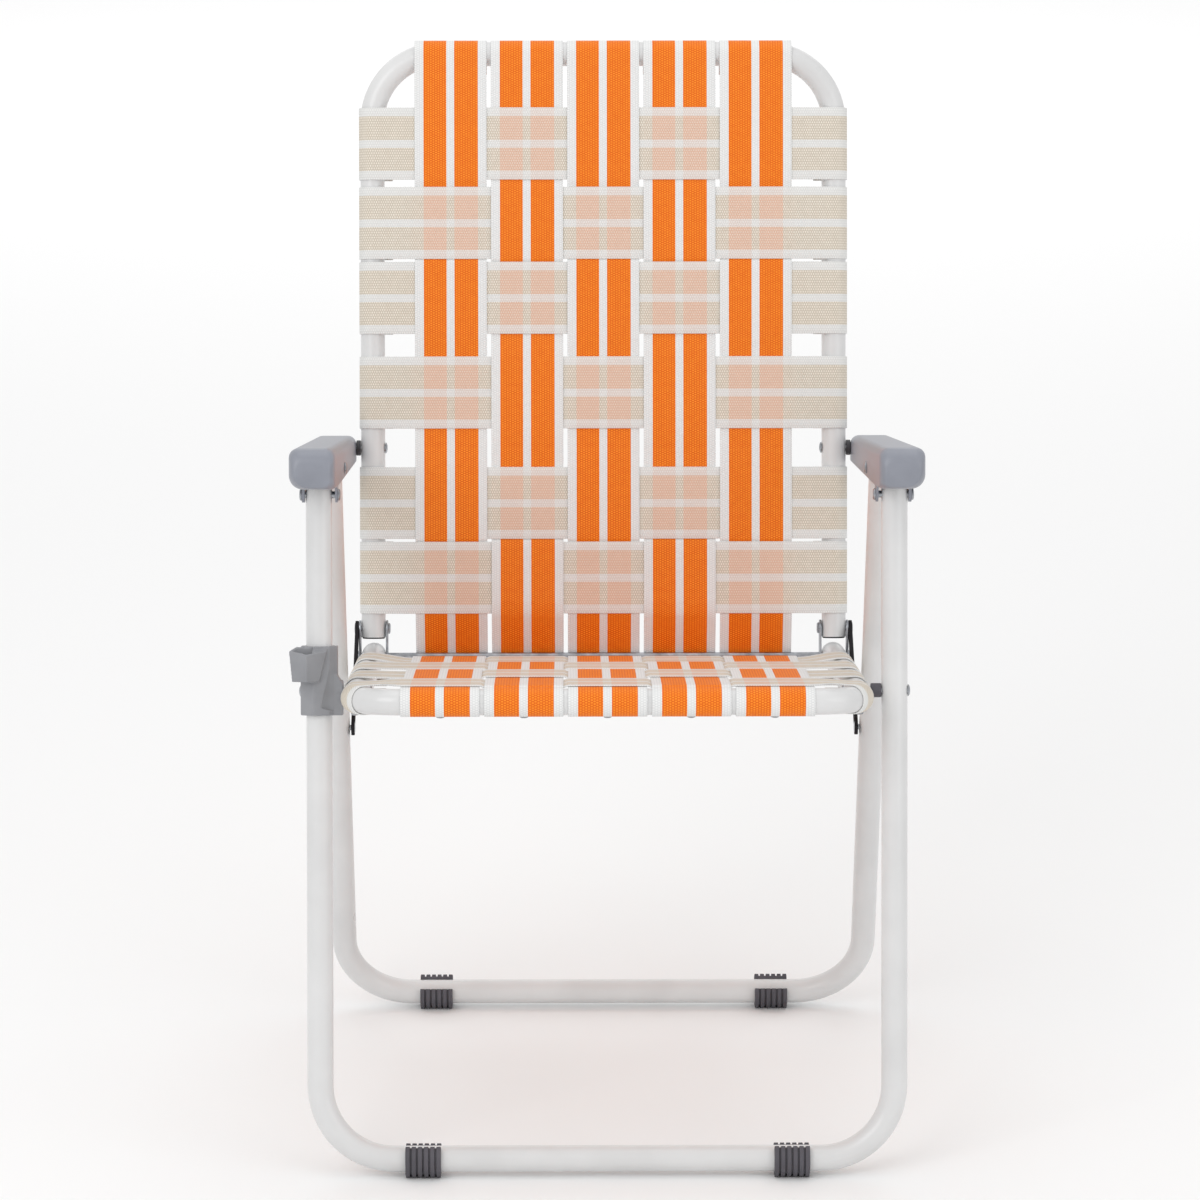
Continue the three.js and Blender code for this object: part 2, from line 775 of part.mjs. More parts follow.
function armrest(side) {
  const inner = arm_inner_face;
  const outer = arm_outer_face;
  const shell = overlap(alongX(armSide(0, 0), side * inner, side * outer, 5), armSection(side, 0));
  const cavity_side = alongX(armSide(arm_wall, -arm_top), side * inner, side * outer, 4);
  const cavity = overlap(cavity_side, armSection(side, arm_wall));
  const ear = alongX(earShape(), side * ear_face, side * (ear_face + ear_wall), 8);
  const lug = alongX(lugShape(), side * inner, side * (inner + arm_wall), 8);
  const channel = join(cut(shell, cavity), ear, lug);
  const back_local = inFrame(back_pin, arm_pin, arm_up);
  const far = side * (ear_face + ear_wall + overrun);
  const near = side * (inner - overrun);
  return cut(
    channel,
    holeX(pin_diameter, near, far, 0, 0),
    holeX(pin_diameter, near, far, arm_rear_pin_back, arm_rear_pin_up),
    holeX(pin_diameter, near, side * (inner + arm_wall + overrun), back_local.x, back_local.y),
  );
}

// Sleeve round the left front leg with a tapered socket on its front corner, in the leg's frame.
function bracketSleeve() {
  const outer = front_half_width + tube_radius + gap + bracket_wall;
  const half_depth = tube_radius + gap + bracket_wall;
  const radius = half_depth / 2;
  const shape = new THREE.Shape();
  shape.moveTo(-outer + radius, -half_depth);
  shape.absarc(-bracket_inner_face - radius, -half_depth + radius, radius, -Math.PI / 2, 0, false);
  shape.absarc(-bracket_inner_face - radius, half_depth - radius, radius, 0, Math.PI / 2, false);
  shape.absarc(-outer + radius, half_depth - radius, radius, Math.PI / 2, Math.PI, false);
  shape.absarc(-outer + radius, -half_depth + radius, radius, Math.PI, 1.5 * Math.PI, false);
  const bore = ring(tube_radius + gap, tube_facets)
    .map((place) => place.add(point(-front_half_width, 0)));
  shape.holes.push(new THREE.Path(bore));
  const height = bracket_below_pin + bracket_above_pin;
  return new THREE.ExtrudeGeometry(shape, { depth: height, bevelEnabled: false, curveSegments: 4 })
    .translate(0, 0, -bracket_below_pin);
}

// A box that narrows downwards, between two heights.
function taperedBox(width, length, height, taper) {
  const box = new THREE.BoxGeometry(width, length, height);
  const places = box.attributes.position;
  for (let i = 0; i < places.count; i += 1) {
    if (places.getZ(i) < 0) {
      places.setX(i, places.getX(i) * (1 - taper / width));
      places.setY(i, places.getY(i) * (1 - taper / length));
    }
  }
  return box;
}

function cupBracket() {
  const depth = tube_radius + gap + bracket_wall;
  const y = -depth - socket_length / 2 + socket_wall;
  const z = bracket_above_pin - socket_height / 2;
  const body = taperedBox(socket_width, socket_length, socket_height, socket_taper)
    .translate(-socket_half_width, y, z);
  const pocket = taperedBox(
    socket_width - 2 * socket_wall,
    socket_length - 2 * socket_wall,
    socket_height,
    socket_taper,
  ).translate(-socket_half_width, y, z + socket_floor);
  const rail_face = seat_half_width + tube_radius + gap;
  const boss = barX(bracket_boss_radius, -rail_face, -bracket_inner_face - overrun, 0, 0, tube_facets);
  const outer = front_half_width + tube_radius + gap + bracket_wall;
  const bore = new THREE.CylinderGeometry(
    tube_radius + gap,
    tube_radius + gap,
    (bracket_below_pin + bracket_above_pin) * 2,
    tube_facets,
  ).rotateX(Math.PI / 2).translate(-front_half_width, 0, 0);
  return cut(
    join(bracketSleeve(), body, boss),
    pocket,
    bore,
    holeX(pin_diameter, -rail_face + overrun, -outer - overrun, 0, 0),
  );
}

function railPlug(side) {
  const bore = (tube_radius - tube_wall) * Math.cos(Math.PI / bore_facets) - gap;
  const profile = [
    point(0, -plug_spigot),
    point(bore, -plug_spigot),
    point(bore, gap),
    point(tube_radius, gap),
    point(tube_radius * plug_radius_shares[0], gap + plug_dome * plug_rise_shares[0]),
    point(tube_radius * plug_radius_shares[1], gap + plug_dome * plug_rise_shares[1]),
    point(0, gap + plug_dome),
  ];
  return new THREE.LatheGeometry(profile, tube_facets)
    .translate(side * seat_half_width, rail_end_over_rod, 0);
}

const chair = new THREE.Group();
const front_group = leaningGroup(front_foot, -lean);
const seat_pin_group = leaningGroup(seat_pin, -lean);
const back_group = leaningGroup(hinge, -lean);
const back_pin_group = leaningGroup(back_pin, -lean);
const seat_group = leaningGroup(rod, -seat_slope);
const arm_group = leaningGroup(arm_pin, -arm_slope);
const rear_pin_group = leaningGroup(rear_pin, -arm_slope);
const rear_group = leaningGroup(rear_pin, -Math.atan2(rear_up.x, rear_up.y));
const strut_down = strut_pin.clone().sub(hinge);
const strut_group = leaningGroup(hinge, -Math.atan2(strut_down.x, strut_down.y));
const strut_pin_group = leaningGroup(strut_pin, 0);
chair.add(front_group, seat_pin_group, back_group, back_pin_group, seat_group);
chair.add(arm_group, rear_pin_group, rear_group, strut_group, strut_pin_group);

const sides = [['left', -1], ['right', 1]];

function addFrames() {
  front_group.add(mesh('front_leg_frame', frontLegFrame(), white_paint()));
  rear_group.add(mesh('rear_leg_frame', rearLegFrame(), white_paint()));
  back_group.add(mesh('back_frame', backFrame(), white_paint()));
  seat_group.add(mesh('seat_frame', seatFrame(), white_paint()));
}

function addFeet() {
  for (const [name, side] of sides) {
    const front = mesh(`front_foot_${name}`, foot(), dark_plastic());
    front.position.set(side * foot_half_spacing, front_foot.x, front_foot.y);
    const rear = mesh(`rear_foot_${name}`, foot(), dark_plastic());
    rear.position.set(side * foot_half_spacing, rear_foot.x, rear_foot.y);
    chair.add(front, rear);
  }
}

function addArmrests() {
  for (const [name, side] of sides) {
    arm_group.add(mesh(`armrest_${name}`, armrest(side), grey_plastic()));
    const bush_end = arm_inner_face - gap;
    const piece = bush(side, tube_face + gap, bush_end, arm_bush_radius, pin_diameter);
    back_pin_group.add(mesh(`arm_bush_${name}`, piece, dark_plastic()));
  }
}

function addBracket() {
  seat_pin_group.add(mesh('cup_bracket_left', cupBracket(), grey_plastic()));
  const end = front_half_width - tube_radius - gap;
  const piece = bush(1, tube_face + gap, end, seat_bush_radius, pin_diameter);
  seat_pin_group.add(mesh('seat_bush_right', piece, dark_plastic()));
}

function addHinges() {
  for (const [name, side] of sides) {
    const inner_start = seat_half_width - tube_radius - gap - plate_thickness;
    for (const [place, start] of [['outer', plate_outer], ['inner', inner_start]]) {
      seat_group.add(mesh(`hinge_plate_${name}_${place}`, hingePlate(side, start), zinc()));
    }
    strut_group.add(mesh(`strut_${name}`, strut(side), dark_plastic()));
    seat_group.add(mesh(`rail_plug_${name}`, railPlug(side), grey_plastic()));
  }
}

// The rod's heads lie outside the outer plates.
function addRod() {
  const half = plate_outer + plate_thickness + gap;
  const radius = rod_diameter / 2;
  const profile = [
    [-half - head_height, 0],
    [-half - head_height, radius],
    [-half, radius * rod_head_share],
    [-half, radius],
    [half, radius],
    [half, radius * rod_head_share],
    [half + head_height, radius],
    [half + head_height, 0],
  ];
  seat_group.add(mesh('hinge_rod', turnedX(profile, pin_facets), zinc()));
}

function addPins() {
  const arm_near = arm_inner_face - gap;
  const ear_far = ear_face + ear_wall + gap;
  const tube_near = seat_half_width - tube_radius - gap;
  for (const [name, side] of sides) {
    const through_arm = () =>
      headedPin(side, arm_near, ear_far, pin_diameter, head_height, head_height);
    arm_group.add(mesh(`arm_front_pin_${name}`, through_arm(), zinc()));
    rear_pin_group.add(mesh(`arm_rear_pin_${name}`, through_arm(), zinc()));
    const nut_face = arm_inner_face + arm_wall + gap;
    const back_bolt = headedPin(side, tube_near, nut_face, pin_diameter, head_height, nut_height);
    back_pin_group.add(mesh(`arm_back_bolt_${name}`, back_bolt, zinc()));
    const bracket_far = side < 0 ? bracket_wall + gap : 0;
    const leg_far = front_half_width + tube_radius + gap + bracket_far;
    const seat_bolt = headedPin(side, tube_near, leg_far, pin_diameter, head_height, head_height);
    seat_pin_group.add(mesh(`seat_bolt_${name}`, seat_bolt, zinc()));
    const hinge_rivet = headedPin(
      side, tube_near - plate_thickness - gap, strut_rivet_root,
      rivet_diameter, head_height, flat_head_height,
    );
    back_group.add(mesh(`hinge_rivet_${name}`, hinge_rivet, zinc()));
    const leg_face = rear_half_width + tube_radius + gap;
    const strut_rivet = headedPin(side, strut_rivet_root, leg_face, rivet_diameter, 0, head_height);
    strut_pin_group.add(mesh(`strut_rivet_${name}`, strut_rivet, zinc()));
  }
}

function addWebbing() {
  back_rows.forEach((centre, row) => {
    back_group.add(mesh(`back_cross_strap_${row + 1}`, backCrossStrap(row), beige_webbing()));
  });
  seat_rows.forEach((centre, index) => {
    seat_group.add(mesh(`seat_cross_strap_${index + 1}`, seatCrossStrap(index), beige_webbing()));
  });
  for (let column = 0; column < strap_count; column += 1) {
    const x = column_centre(column);
    const back = bandAcrossX(backLongLine(column), strap_width, x);
    back_group.add(mesh(`back_long_strap_${column + 1}`, back, orange_webbing()));
    const seat = bandAcrossX(seatLongLine(column), strap_width, x);
    seat_group.add(mesh(`seat_long_strap_${column + 1}`, seat, orange_webbing()));
  }
}

addFrames();
addFeet();
addArmrests();
addBracket();
addHinges();
addRod();
addPins();
addWebbing();

// The origin moves to the middle of the chair's footprint.
const extent = new THREE.Box3().setFromObject(chair, true);
const centring = -(extent.min.y + extent.max.y) / 2;
for (const group of chair.children) {
  group.position.y += centring;
}
chair.updateMatrixWorld(true);

export default chair;
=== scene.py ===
# %% [markdown]
# # A folding lawn chair with woven webbing
# The chair is four U-shaped frames of white steel tube, hinged together under two plastic
# armrests, with orange and beige webbing woven over the seat and the backrest. The frame file
# gives the place of every piece and of every hinge. This lesson dresses it: each piece gets
# the roundness, the edges and the finish that the real one has.

# %% Load the frame
import json
import math
import bpy
import bmesh
from mathutils import Euler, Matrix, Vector


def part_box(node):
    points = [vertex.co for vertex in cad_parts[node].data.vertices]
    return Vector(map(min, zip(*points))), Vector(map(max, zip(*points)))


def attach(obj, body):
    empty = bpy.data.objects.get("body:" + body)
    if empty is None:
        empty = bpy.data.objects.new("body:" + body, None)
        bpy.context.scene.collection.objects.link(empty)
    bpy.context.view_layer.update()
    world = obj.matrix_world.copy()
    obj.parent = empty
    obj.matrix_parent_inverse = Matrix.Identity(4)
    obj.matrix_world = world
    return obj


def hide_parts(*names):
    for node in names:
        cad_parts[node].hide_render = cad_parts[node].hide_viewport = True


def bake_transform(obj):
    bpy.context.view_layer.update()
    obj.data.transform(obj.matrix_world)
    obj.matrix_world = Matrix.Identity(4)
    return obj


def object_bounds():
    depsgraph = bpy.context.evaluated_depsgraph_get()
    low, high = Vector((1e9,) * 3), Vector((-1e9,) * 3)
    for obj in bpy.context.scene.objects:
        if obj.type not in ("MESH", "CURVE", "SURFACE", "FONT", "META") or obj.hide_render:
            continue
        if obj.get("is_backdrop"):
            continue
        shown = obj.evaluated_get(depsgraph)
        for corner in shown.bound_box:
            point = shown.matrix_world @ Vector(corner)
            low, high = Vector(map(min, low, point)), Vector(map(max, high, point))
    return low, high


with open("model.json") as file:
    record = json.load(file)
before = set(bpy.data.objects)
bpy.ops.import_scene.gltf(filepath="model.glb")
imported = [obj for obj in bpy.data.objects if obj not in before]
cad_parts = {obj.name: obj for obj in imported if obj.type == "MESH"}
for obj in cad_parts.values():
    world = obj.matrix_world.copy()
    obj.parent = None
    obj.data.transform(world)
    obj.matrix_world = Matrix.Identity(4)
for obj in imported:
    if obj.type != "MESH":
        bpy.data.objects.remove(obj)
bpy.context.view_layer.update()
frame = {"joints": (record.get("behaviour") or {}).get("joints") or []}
joints = {joint["name"]: joint for joint in frame["joints"]}

# %% [markdown]
# ## Two sizes that everything shares
# The chair is built round one tube. Its radius, and the play that a piece needs to slide over
# it, turn up in nearly every step, so they come first. Each other size stands in the step that
# needs it first. All are in metres. What the frame file already knows, such as a pin's place,
# is read from it and not typed again.

# %% Tube and clearance
MM = 0.001
TUBE_RADIUS = 11 * MM
CLEARANCE = 0.3 * MM
print("tube of", round(2 * TUBE_RADIUS / MM), "mm")

# %% [markdown]
# ## The side view
# The linkage lies in planes that repeat across the chair, so it is easier to draw from the
# side than in space: a 2-D vector holds y (to the rear) and z (up), and one function puts it
# at its place across the chair. The front legs and the backrest lean by the same angle,
# because the four pins of the linkage form a parallelogram.

# %% Points in the side view
def side_point(place):
    return Vector((place[1], place[2]))


def middle_of(node_name):
    low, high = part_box(node_name)
    return (low + high) / 2


def rearward(up):
    return Vector((up.y, -up.x))


def in_frame(origin, up, rear, height):
    """The side-view point this far to the rear and up along a leaning frame."""
    return origin + rearward(up) * rear + up * height


def at(x, place):
    return Vector((x, place.x, place.y))


print("the rod is at", tuple(round(v, 3) for v in side_point(middle_of("hinge_rod"))))

# %% Pins and directions
RAIL_HEIGHT = 15 * MM
SEAT_PIN = side_point(joints["seat_fold"]["pos_m"])
ARM_PIN = side_point(joints["arms_fold"]["pos_m"])
HINGE = side_point(joints["back_fold"]["pos_m"])
REAR_PIN = side_point(joints["rear_leg_fold"]["pos_m"])
ROD = side_point(middle_of("hinge_rod"))
REAR_FOOT = Vector((middle_of("rear_foot_left").y, RAIL_HEIGHT))
FRONT_FOOT = Vector((middle_of("front_foot_left").y, RAIL_HEIGHT))
LEG_UP = (ARM_PIN - SEAT_PIN).normalized()
SEAT_UP = (HINGE - ROD).normalized()
REAR_UP = (REAR_PIN - REAR_FOOT).normalized()
BACK_PIN = HINGE + ARM_PIN - SEAT_PIN
# The armrests fall to the rear by this angle.
ARM_SLOPE = math.radians(10.3)
ARM_UP = Vector((math.sin(ARM_SLOPE), math.cos(ARM_SLOPE)))
print("lean", round(math.degrees(math.atan2(LEG_UP.x, LEG_UP.y)), 2), "degrees")

# %% [markdown]
# ## Turning lists of points into meshes
# Every piece is a mesh of rings or of flat outlines. Blender's ready shapes could be scaled
# and bent into them, but a list of points keeps the maker's own sizes in sight. One helper
# makes the object. Another gives it smooth shading that still breaks at sharp edges and its
# material, hangs it on the body that it moves with and hides the drawn pieces that it stands for.

# %% A mesh piece that rides on a body
SHARP_ANGLE = math.radians(35)


def plain_object(name, verts, faces):
    """An object with one mesh whose faces are turned outward."""
    data = bpy.data.meshes.new(name)
    data.from_pydata([tuple(v) for v in verts], [], faces)
    made = bpy.data.objects.new(name, data)
    bpy.context.scene.collection.objects.link(made)
    work = bmesh.new()
    work.from_mesh(data)
    bmesh.ops.recalc_face_normals(work, faces=work.faces)
    work.to_mesh(data)
    work.free()
    return made


def finish_piece(made, material, body, replaced=(), slot=None):
    """Gives a mesh its finish and tells the frame where it belongs."""
    made.data.materials.clear()
    made.data.materials.append(material)
    made.data.polygons.foreach_set("use_smooth", [True] * len(made.data.polygons))
    made.data.set_sharp_from_angle(angle=SHARP_ANGLE)
    if body:
        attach(made, body)
    if replaced:
        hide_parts(*replaced)
    return made


def piece(name, verts, faces, material, body, replaced=(), slot=None):
    return finish_piece(plain_object(name, verts, faces), material, body, replaced, slot)


print("edges sharper than", round(math.degrees(SHARP_ANGLE)), "degrees stay crisp")

# %% Rings of points
def ring_faces(count, size, looped=False):
    """Faces between count rings of size points each. The last ring joins the first one when
    looped, and otherwise both ends are closed."""
    faces = []
    for ring in range(count if looped else count - 1):
        following = (ring + 1) % count
        for side in range(size):
            beside = (side + 1) % size
            faces.append((ring * size + side, ring * size + beside,
                          following * size + beside, following * size + side))
    if not looped:
        faces.append(tuple(range(size))[::-1])
        faces.append(tuple((count - 1) * size + side for side in range(size)))
    return faces


def ring_points(place, across, up, radius, count):
    turns = [2 * math.pi * i / count for i in range(count)]
    return [place + across * radius * math.cos(a) + up * radius * math.sin(a) for a in turns]


print("a closed box has", len(ring_faces(2, 4)), "faces")

# %% [markdown]
# ## Finishes
# Colours are read off as the sRGB values that a screen shows, and one function turns them
# into the linear light that a shader works in. A second small function adds a shader node
# with its settings and links, so each finish below reads as a short recipe.

# %% Colour and node helpers
def linear(hex_colour):
    values = [int(hex_colour[i:i + 2], 16) / 255 for i in (1, 3, 5)]
    return tuple(v / 12.92 if v <= 0.04045 else ((v + 0.055) / 1.055) ** 2.4 for v in values) + (1,)


def node(tree, kind, inputs=None, **settings):
    """Adds a node. An input is a value, an output, or a node that stands for its first output."""
    made = tree.nodes.new(kind)
    for name, value in settings.items():
        setattr(made, name, value)
    for socket, value in (inputs or {}).items():
        if isinstance(value, bpy.types.Node):
            value = value.outputs[0]
        if isinstance(value, bpy.types.NodeSocket):
            tree.links.new(value, made.inputs[socket])
        else:
            made.inputs[socket].default_value = value
    return made


def new_material(name, fixed):
    """A material whose shader has these values all over the surface."""
    material = bpy.data.materials.new(name)
    material.use_nodes = True
    tree = material.node_tree
    shader = tree.nodes["Principled BSDF"]
    for socket, value in fixed.items():
        shader.inputs[socket].default_value = value
    return material, tree, shader


def colour_stops(ramp, stops, interpolation="LINEAR"):
    ramp.color_ramp.interpolation = interpolation
    elements = ramp.color_ramp.elements
    while len(elements) > 1:
        elements.remove(elements[-1])
    elements[0].position, elements[0].color = stops[0]
    for position, colour in stops[1:]:
        elements.new(position).color = colour


print("the orange of the webbing is", [round(v, 3) for v in linear("#DC5F00")], "in linear light")

# %% [markdown]
# ### Skins that drift
# Paint and plastic are never quite even: handling polishes some places and dulls others, and
# the surface has a fine relief from the oven or the mould. One flat colour would look like
# a drawing. A slow noise therefore moves colour and gloss together, in patches of a real size,
# and a fine noise makes the relief as bump, because it is too small for geometry.

# %% A drifting skin
def drifting_skin(name, fixed, patch, shades, gloss, grain, relief):
    """patch and grain are (size, detail), shades are two (level, colour) stops, gloss is the
    lowest and the highest roughness, and relief is the bump's (strength, depth)."""
    material, tree, shader = new_material(name, fixed)
    place = node(tree, "ShaderNodeTexCoord").outputs["Object"]
    slow = node(tree, "ShaderNodeTexNoise", {"Vector": place, "Scale": 1 / patch[0], "Detail": patch[1]})
    tint = node(tree, "ShaderNodeValToRGB", {"Fac": slow})
    colour_stops(tint, [(level, linear(colour)) for level, colour in shades])
    rough = node(tree, "ShaderNodeMapRange", {"Value": slow, "To Min": gloss[0], "To Max": gloss[1]})
    fine = node(tree, "ShaderNodeTexNoise", {"Vector": place, "Scale": 1 / grain[0], "Detail": grain[1]})
    bump = node(tree, "ShaderNodeBump", {"Height": fine, "Strength": relief[0], "Distance": relief[1]})
    for source, socket in ((tint, "Base Color"), (rough, "Roughness"), (bump, "Normal")):
        tree.links.new(source.outputs[0], shader.inputs[socket])
    print("made", name)
    return material


# %% [markdown]
# ### Powder-coated steel tube
# The white frame is steel tube that was sprayed with a dry polyester powder and baked. The
# coat melts into a thick glossy skin with a very slight orange peel, a ripple a few
# millimetres wide, which makes its long highlights tremble. Nothing of the steel shows, so it
# is a plain plastic skin with a thin clear coat, and not a metal.

# %% Powder coat
ORANGE_PEEL = 2.5 * MM
SCUFF_SIZE = 60 * MM
white_coat = drifting_skin(
    "glossy_white_powder_coat", {"IOR": 1.5, "Coat Weight": 0.25, "Coat Roughness": 0.12},
    (SCUFF_SIZE, 3), ((0.35, "#D3D3D3"), (0.7, "#DBDBDB")), (0.24, 0.36),
    (ORANGE_PEEL, 1), (0.06, 0.2 * MM))

# %% [markdown]
# ### Moulded plastics
# The armrests, the bracket and the feet are injection-moulded polypropylene. The steel mould
# was spark-eroded, which leaves a fine satin grain, so highlights spread wide and soft. A real
# grain of a tenth of a millimetre would not show, so it is drawn coarser. The same recipe
# gives black nylon for the bushes and, nearly without gloss, the dark coating of the struts.
# Their near-black is partly that coating and partly painted shade for the shaded inside of a channel, which
# the flat struts lack.

# %% Moulded polypropylene
MOULD_GRAIN = 0.9 * MM
WEAR_SIZE = 35 * MM


def moulded(name, dark, light, gloss, specular=0.5):
    return drifting_skin(name, {"IOR": 1.49, "Specular IOR Level": specular}, (WEAR_SIZE, 4),
                         ((0.3, dark), (0.7, light)), gloss, (MOULD_GRAIN, 2), (0.12, 0.15 * MM))


# The armrests are a cool grey with a soft shine from hands.
arm_plastic = moulded("blue_grey_moulded_polypropylene", "#83868F", "#90939D", (0.28, 0.42))
# The bracket is a warmer grey and duller, because nobody touches it.
bracket_plastic = moulded("grey_moulded_polypropylene", "#85868A", "#96979B", (0.38, 0.52))
# The feet look dusty, and the floor has worn them nearly matt.
foot_plastic = moulded("charcoal_moulded_polypropylene", "#444248", "#56535A", (0.4, 0.6))
# Nylon is the darkest plastic here, with a faint waxy gloss.
bush_plastic = moulded("black_moulded_nylon", "#2B2A2E", "#3A393E", (0.35, 0.5))
# The dip coating of the struts is so matt that they read as a dark line.
# The struts are near-black and matt: partly their own dip coating, and partly painted shade for the shaded
# inside of a channel, since each strut is drawn as a flat strap.
strut_coat_and_shade = moulded("black_coated_steel_and_painted_shade", "#19181B", "#262528", (0.6, 0.75), 0.15)

# %% [markdown]
# ### Zinc-plated steel
# The plates, the rod, the pins and the screws are mild steel with a thin bright zinc plating.
# It mirrors its surroundings through a faint blue-grey haze and shows small spangles and
# handling marks. Cells in the size of the spangles change the roughness, so that the shine
# differs from spot to spot, and a noise in the size of a fingertip changes the colour.

# %% Bright zinc
SPANGLE = 3 * MM
HANDLING_MARK = 8 * MM


def bright_zinc():
    material, tree, shader = new_material("bright_zinc_plated_steel", {"Metallic": 1.0})
    place = node(tree, "ShaderNodeTexCoord").outputs["Object"]
    spangle = node(tree, "ShaderNodeTexVoronoi", {"Vector": place, "Scale": 1 / SPANGLE})
    marks = node(tree, "ShaderNodeTexNoise", {"Vector": place, "Scale": 1 / HANDLING_MARK, "Detail": 4})
    tint = node(tree, "ShaderNodeValToRGB", {"Fac": marks})
    colour_stops(tint, [(0.3, linear("#8E9196")), (0.7, linear("#B9BCC1"))])
    tree.links.new(tint.outputs["Color"], shader.inputs["Base Color"])
    gloss = node(tree, "ShaderNodeMapRange", {"Value": spangle, "From Max": 0.002,
                                              "To Min": 0.2, "To Max": 0.34})
    tree.links.new(gloss.outputs["Result"], shader.inputs["Roughness"])
    return material


zinc = bright_zinc()
print("made", zinc.name)

# %% [markdown]
# ### Polypropylene webbing
# The height also mixes the colour, darker in the valleys as painted shade and lighter on the dots as painted
# light.
# The webbing is a stock strap woven from flat polypropylene yarn in a plain weave: each weft
# passes over one warp and under the next. That gives the eye tiny raised dots with dark
# valleys between them, a soft plastic sheen and crisp colour borders where the warp yarn
# changes from white to orange or beige. Modelled yarns would take millions of faces, so the
# weave is a height made of sine waves, which are measured in yarns and stay even everywhere.
# Real yarn is about 1.3 mm wide, finer than a pixel of the picture, so it is drawn coarser.

# %% A plain weave
STRAP_WIDTH = 65.5 * MM
YARN_ACROSS = 2.3 * MM
YARN_ALONG = 2.1 * MM
YARN_WANDER = 0.5 * MM
MATH = "ShaderNodeMath"


def plain_weave(tree, across, along, wander):
    """Height of a plain weave, from distances in metres: columns of dots, every second column
    half a step further along. A slow noise makes the dots wander a little, as yarn does."""
    column = node(tree, MATH, {0: across, 1: 1 / YARN_ACROSS}, operation="MULTIPLY")
    turn = node(tree, MATH, {0: column, 1: math.pi}, operation="MULTIPLY")
    swing = node(tree, MATH, {0: turn}, operation="SINE")
    ridge = node(tree, MATH, {0: swing}, operation="ABSOLUTE")
    number = node(tree, MATH, {0: column}, operation="FLOOR")
    half_step = node(tree, MATH, {0: number, 1: math.pi}, operation="MULTIPLY")
    drift = node(tree, MATH, {0: wander, 1: YARN_WANDER}, operation="MULTIPLY")
    moved = node(tree, MATH, {0: along, 1: drift}, operation="ADD")
    wave = node(tree, MATH, {0: moved, 1: 2 * math.pi / YARN_ALONG}, operation="MULTIPLY")
    phase = node(tree, MATH, {0: wave, 1: half_step}, operation="ADD")
    dot = node(tree, MATH, {0: phase}, operation="SINE")
    lifted = node(tree, MATH, {0: dot, 1: 1.0}, operation="ADD")
    raised = node(tree, MATH, {0: lifted, 1: 0.5}, operation="MULTIPLY")
    return node(tree, MATH, {0: ridge, 1: raised}, operation="MULTIPLY")


print(round(STRAP_WIDTH / YARN_ACROSS), "columns of dots on a strap")

# %% Stripes across a strap
STRIPE_SHARES = (0.123, 0.438, 0.548, 0.877)


def grey(level):
    return (level, level, level, 1)


def stripes(tree, share, ground, stripe):
    """Colour across a strap: ground at the edges and in the middle, two bands of stripe."""
    ramp = node(tree, "ShaderNodeValToRGB", {"Fac": share})
    first, second, third, fourth = STRIPE_SHARES
    stops = [(0.0, ground), (first, stripe), (second, ground), (third, stripe), (fourth, ground)]
    colour_stops(ramp, stops, "CONSTANT")
    return ramp


print("stripes of", [round((end - start) * STRAP_WIDTH / MM) for start, end in
                     (STRIPE_SHARES[:2], STRIPE_SHARES[2:])], "mm")

# %% [markdown]
# ### Orange that shines through
# Beige yarn lets a little light through, so it turns salmon where an orange stripe lies
# beneath it, most of all in the thin valleys of the weave. Real translucency would need light
# to pass two layers of cloth, which is slow and noisy. The place of the stripes beneath is
# known, so the salmon is mixed in there, by an attribute that says which strap is on top.

# %% Salmon where the orange lies beneath
STRAP_COUNT = 5
STRAP_PITCH = 69.3 * MM
FACTOR, COLOUR_A, COLOUR_B, COLOUR_OUT = 0, 6, 7, 2
WHITE_YARN_GLOW = 0.38
WHITE_BENEATH = 0.08


def salmon_glow(tree, share, cloth, lit):
    """Mixes in the orange of the stripes beneath, where the strap passes over a long strap."""
    own = stripes(tree, share, grey(WHITE_YARN_GLOW), grey(1))
    place = node(tree, "ShaderNodeTexCoord").outputs["Object"]
    x = node(tree, "ShaderNodeSeparateXYZ", {"Vector": place}).outputs["X"]
    from_edge = node(tree, MATH, {0: x, 1: STRAP_WIDTH / 2 + STRAP_COUNT * STRAP_PITCH}, operation="ADD")
    wrapped = node(tree, MATH, {0: from_edge, 1: STRAP_PITCH}, operation="MODULO")
    ratio = node(tree, MATH, {0: wrapped, 1: STRAP_WIDTH}, operation="DIVIDE")
    share_beneath = node(tree, MATH, {0: ratio, 1: 1.0}, operation="MINIMUM")
    beneath = stripes(tree, share_beneath, grey(WHITE_BENEATH), grey(1))
    over = node(tree, "ShaderNodeAttribute", attribute_name="over_orange").outputs["Fac"]
    seen = node(tree, MATH, {0: beneath, 1: over}, operation="MULTIPLY")
    valley = node(tree, "ShaderNodeMapRange", {"Value": lit, "To Min": 0.95, "To Max": 0.4})
    through = node(tree, MATH, {0: own, 1: valley}, operation="MULTIPLY")
    amount = node(tree, MATH, {0: seen, 1: through}, operation="MULTIPLY")
    mixed = node(tree, "ShaderNodeMix", {FACTOR: amount, COLOUR_A: cloth, COLOUR_B: linear("#DCB29B")},
                 data_type="RGBA")
    return mixed.outputs[COLOUR_OUT]


print("an orange strap lies beneath every", round(STRAP_PITCH / MM, 1), "mm")

# %% Webbing
WEBBING_UV = "webbing"
DYE_AND_SHEEN_PATCH = 6 * MM


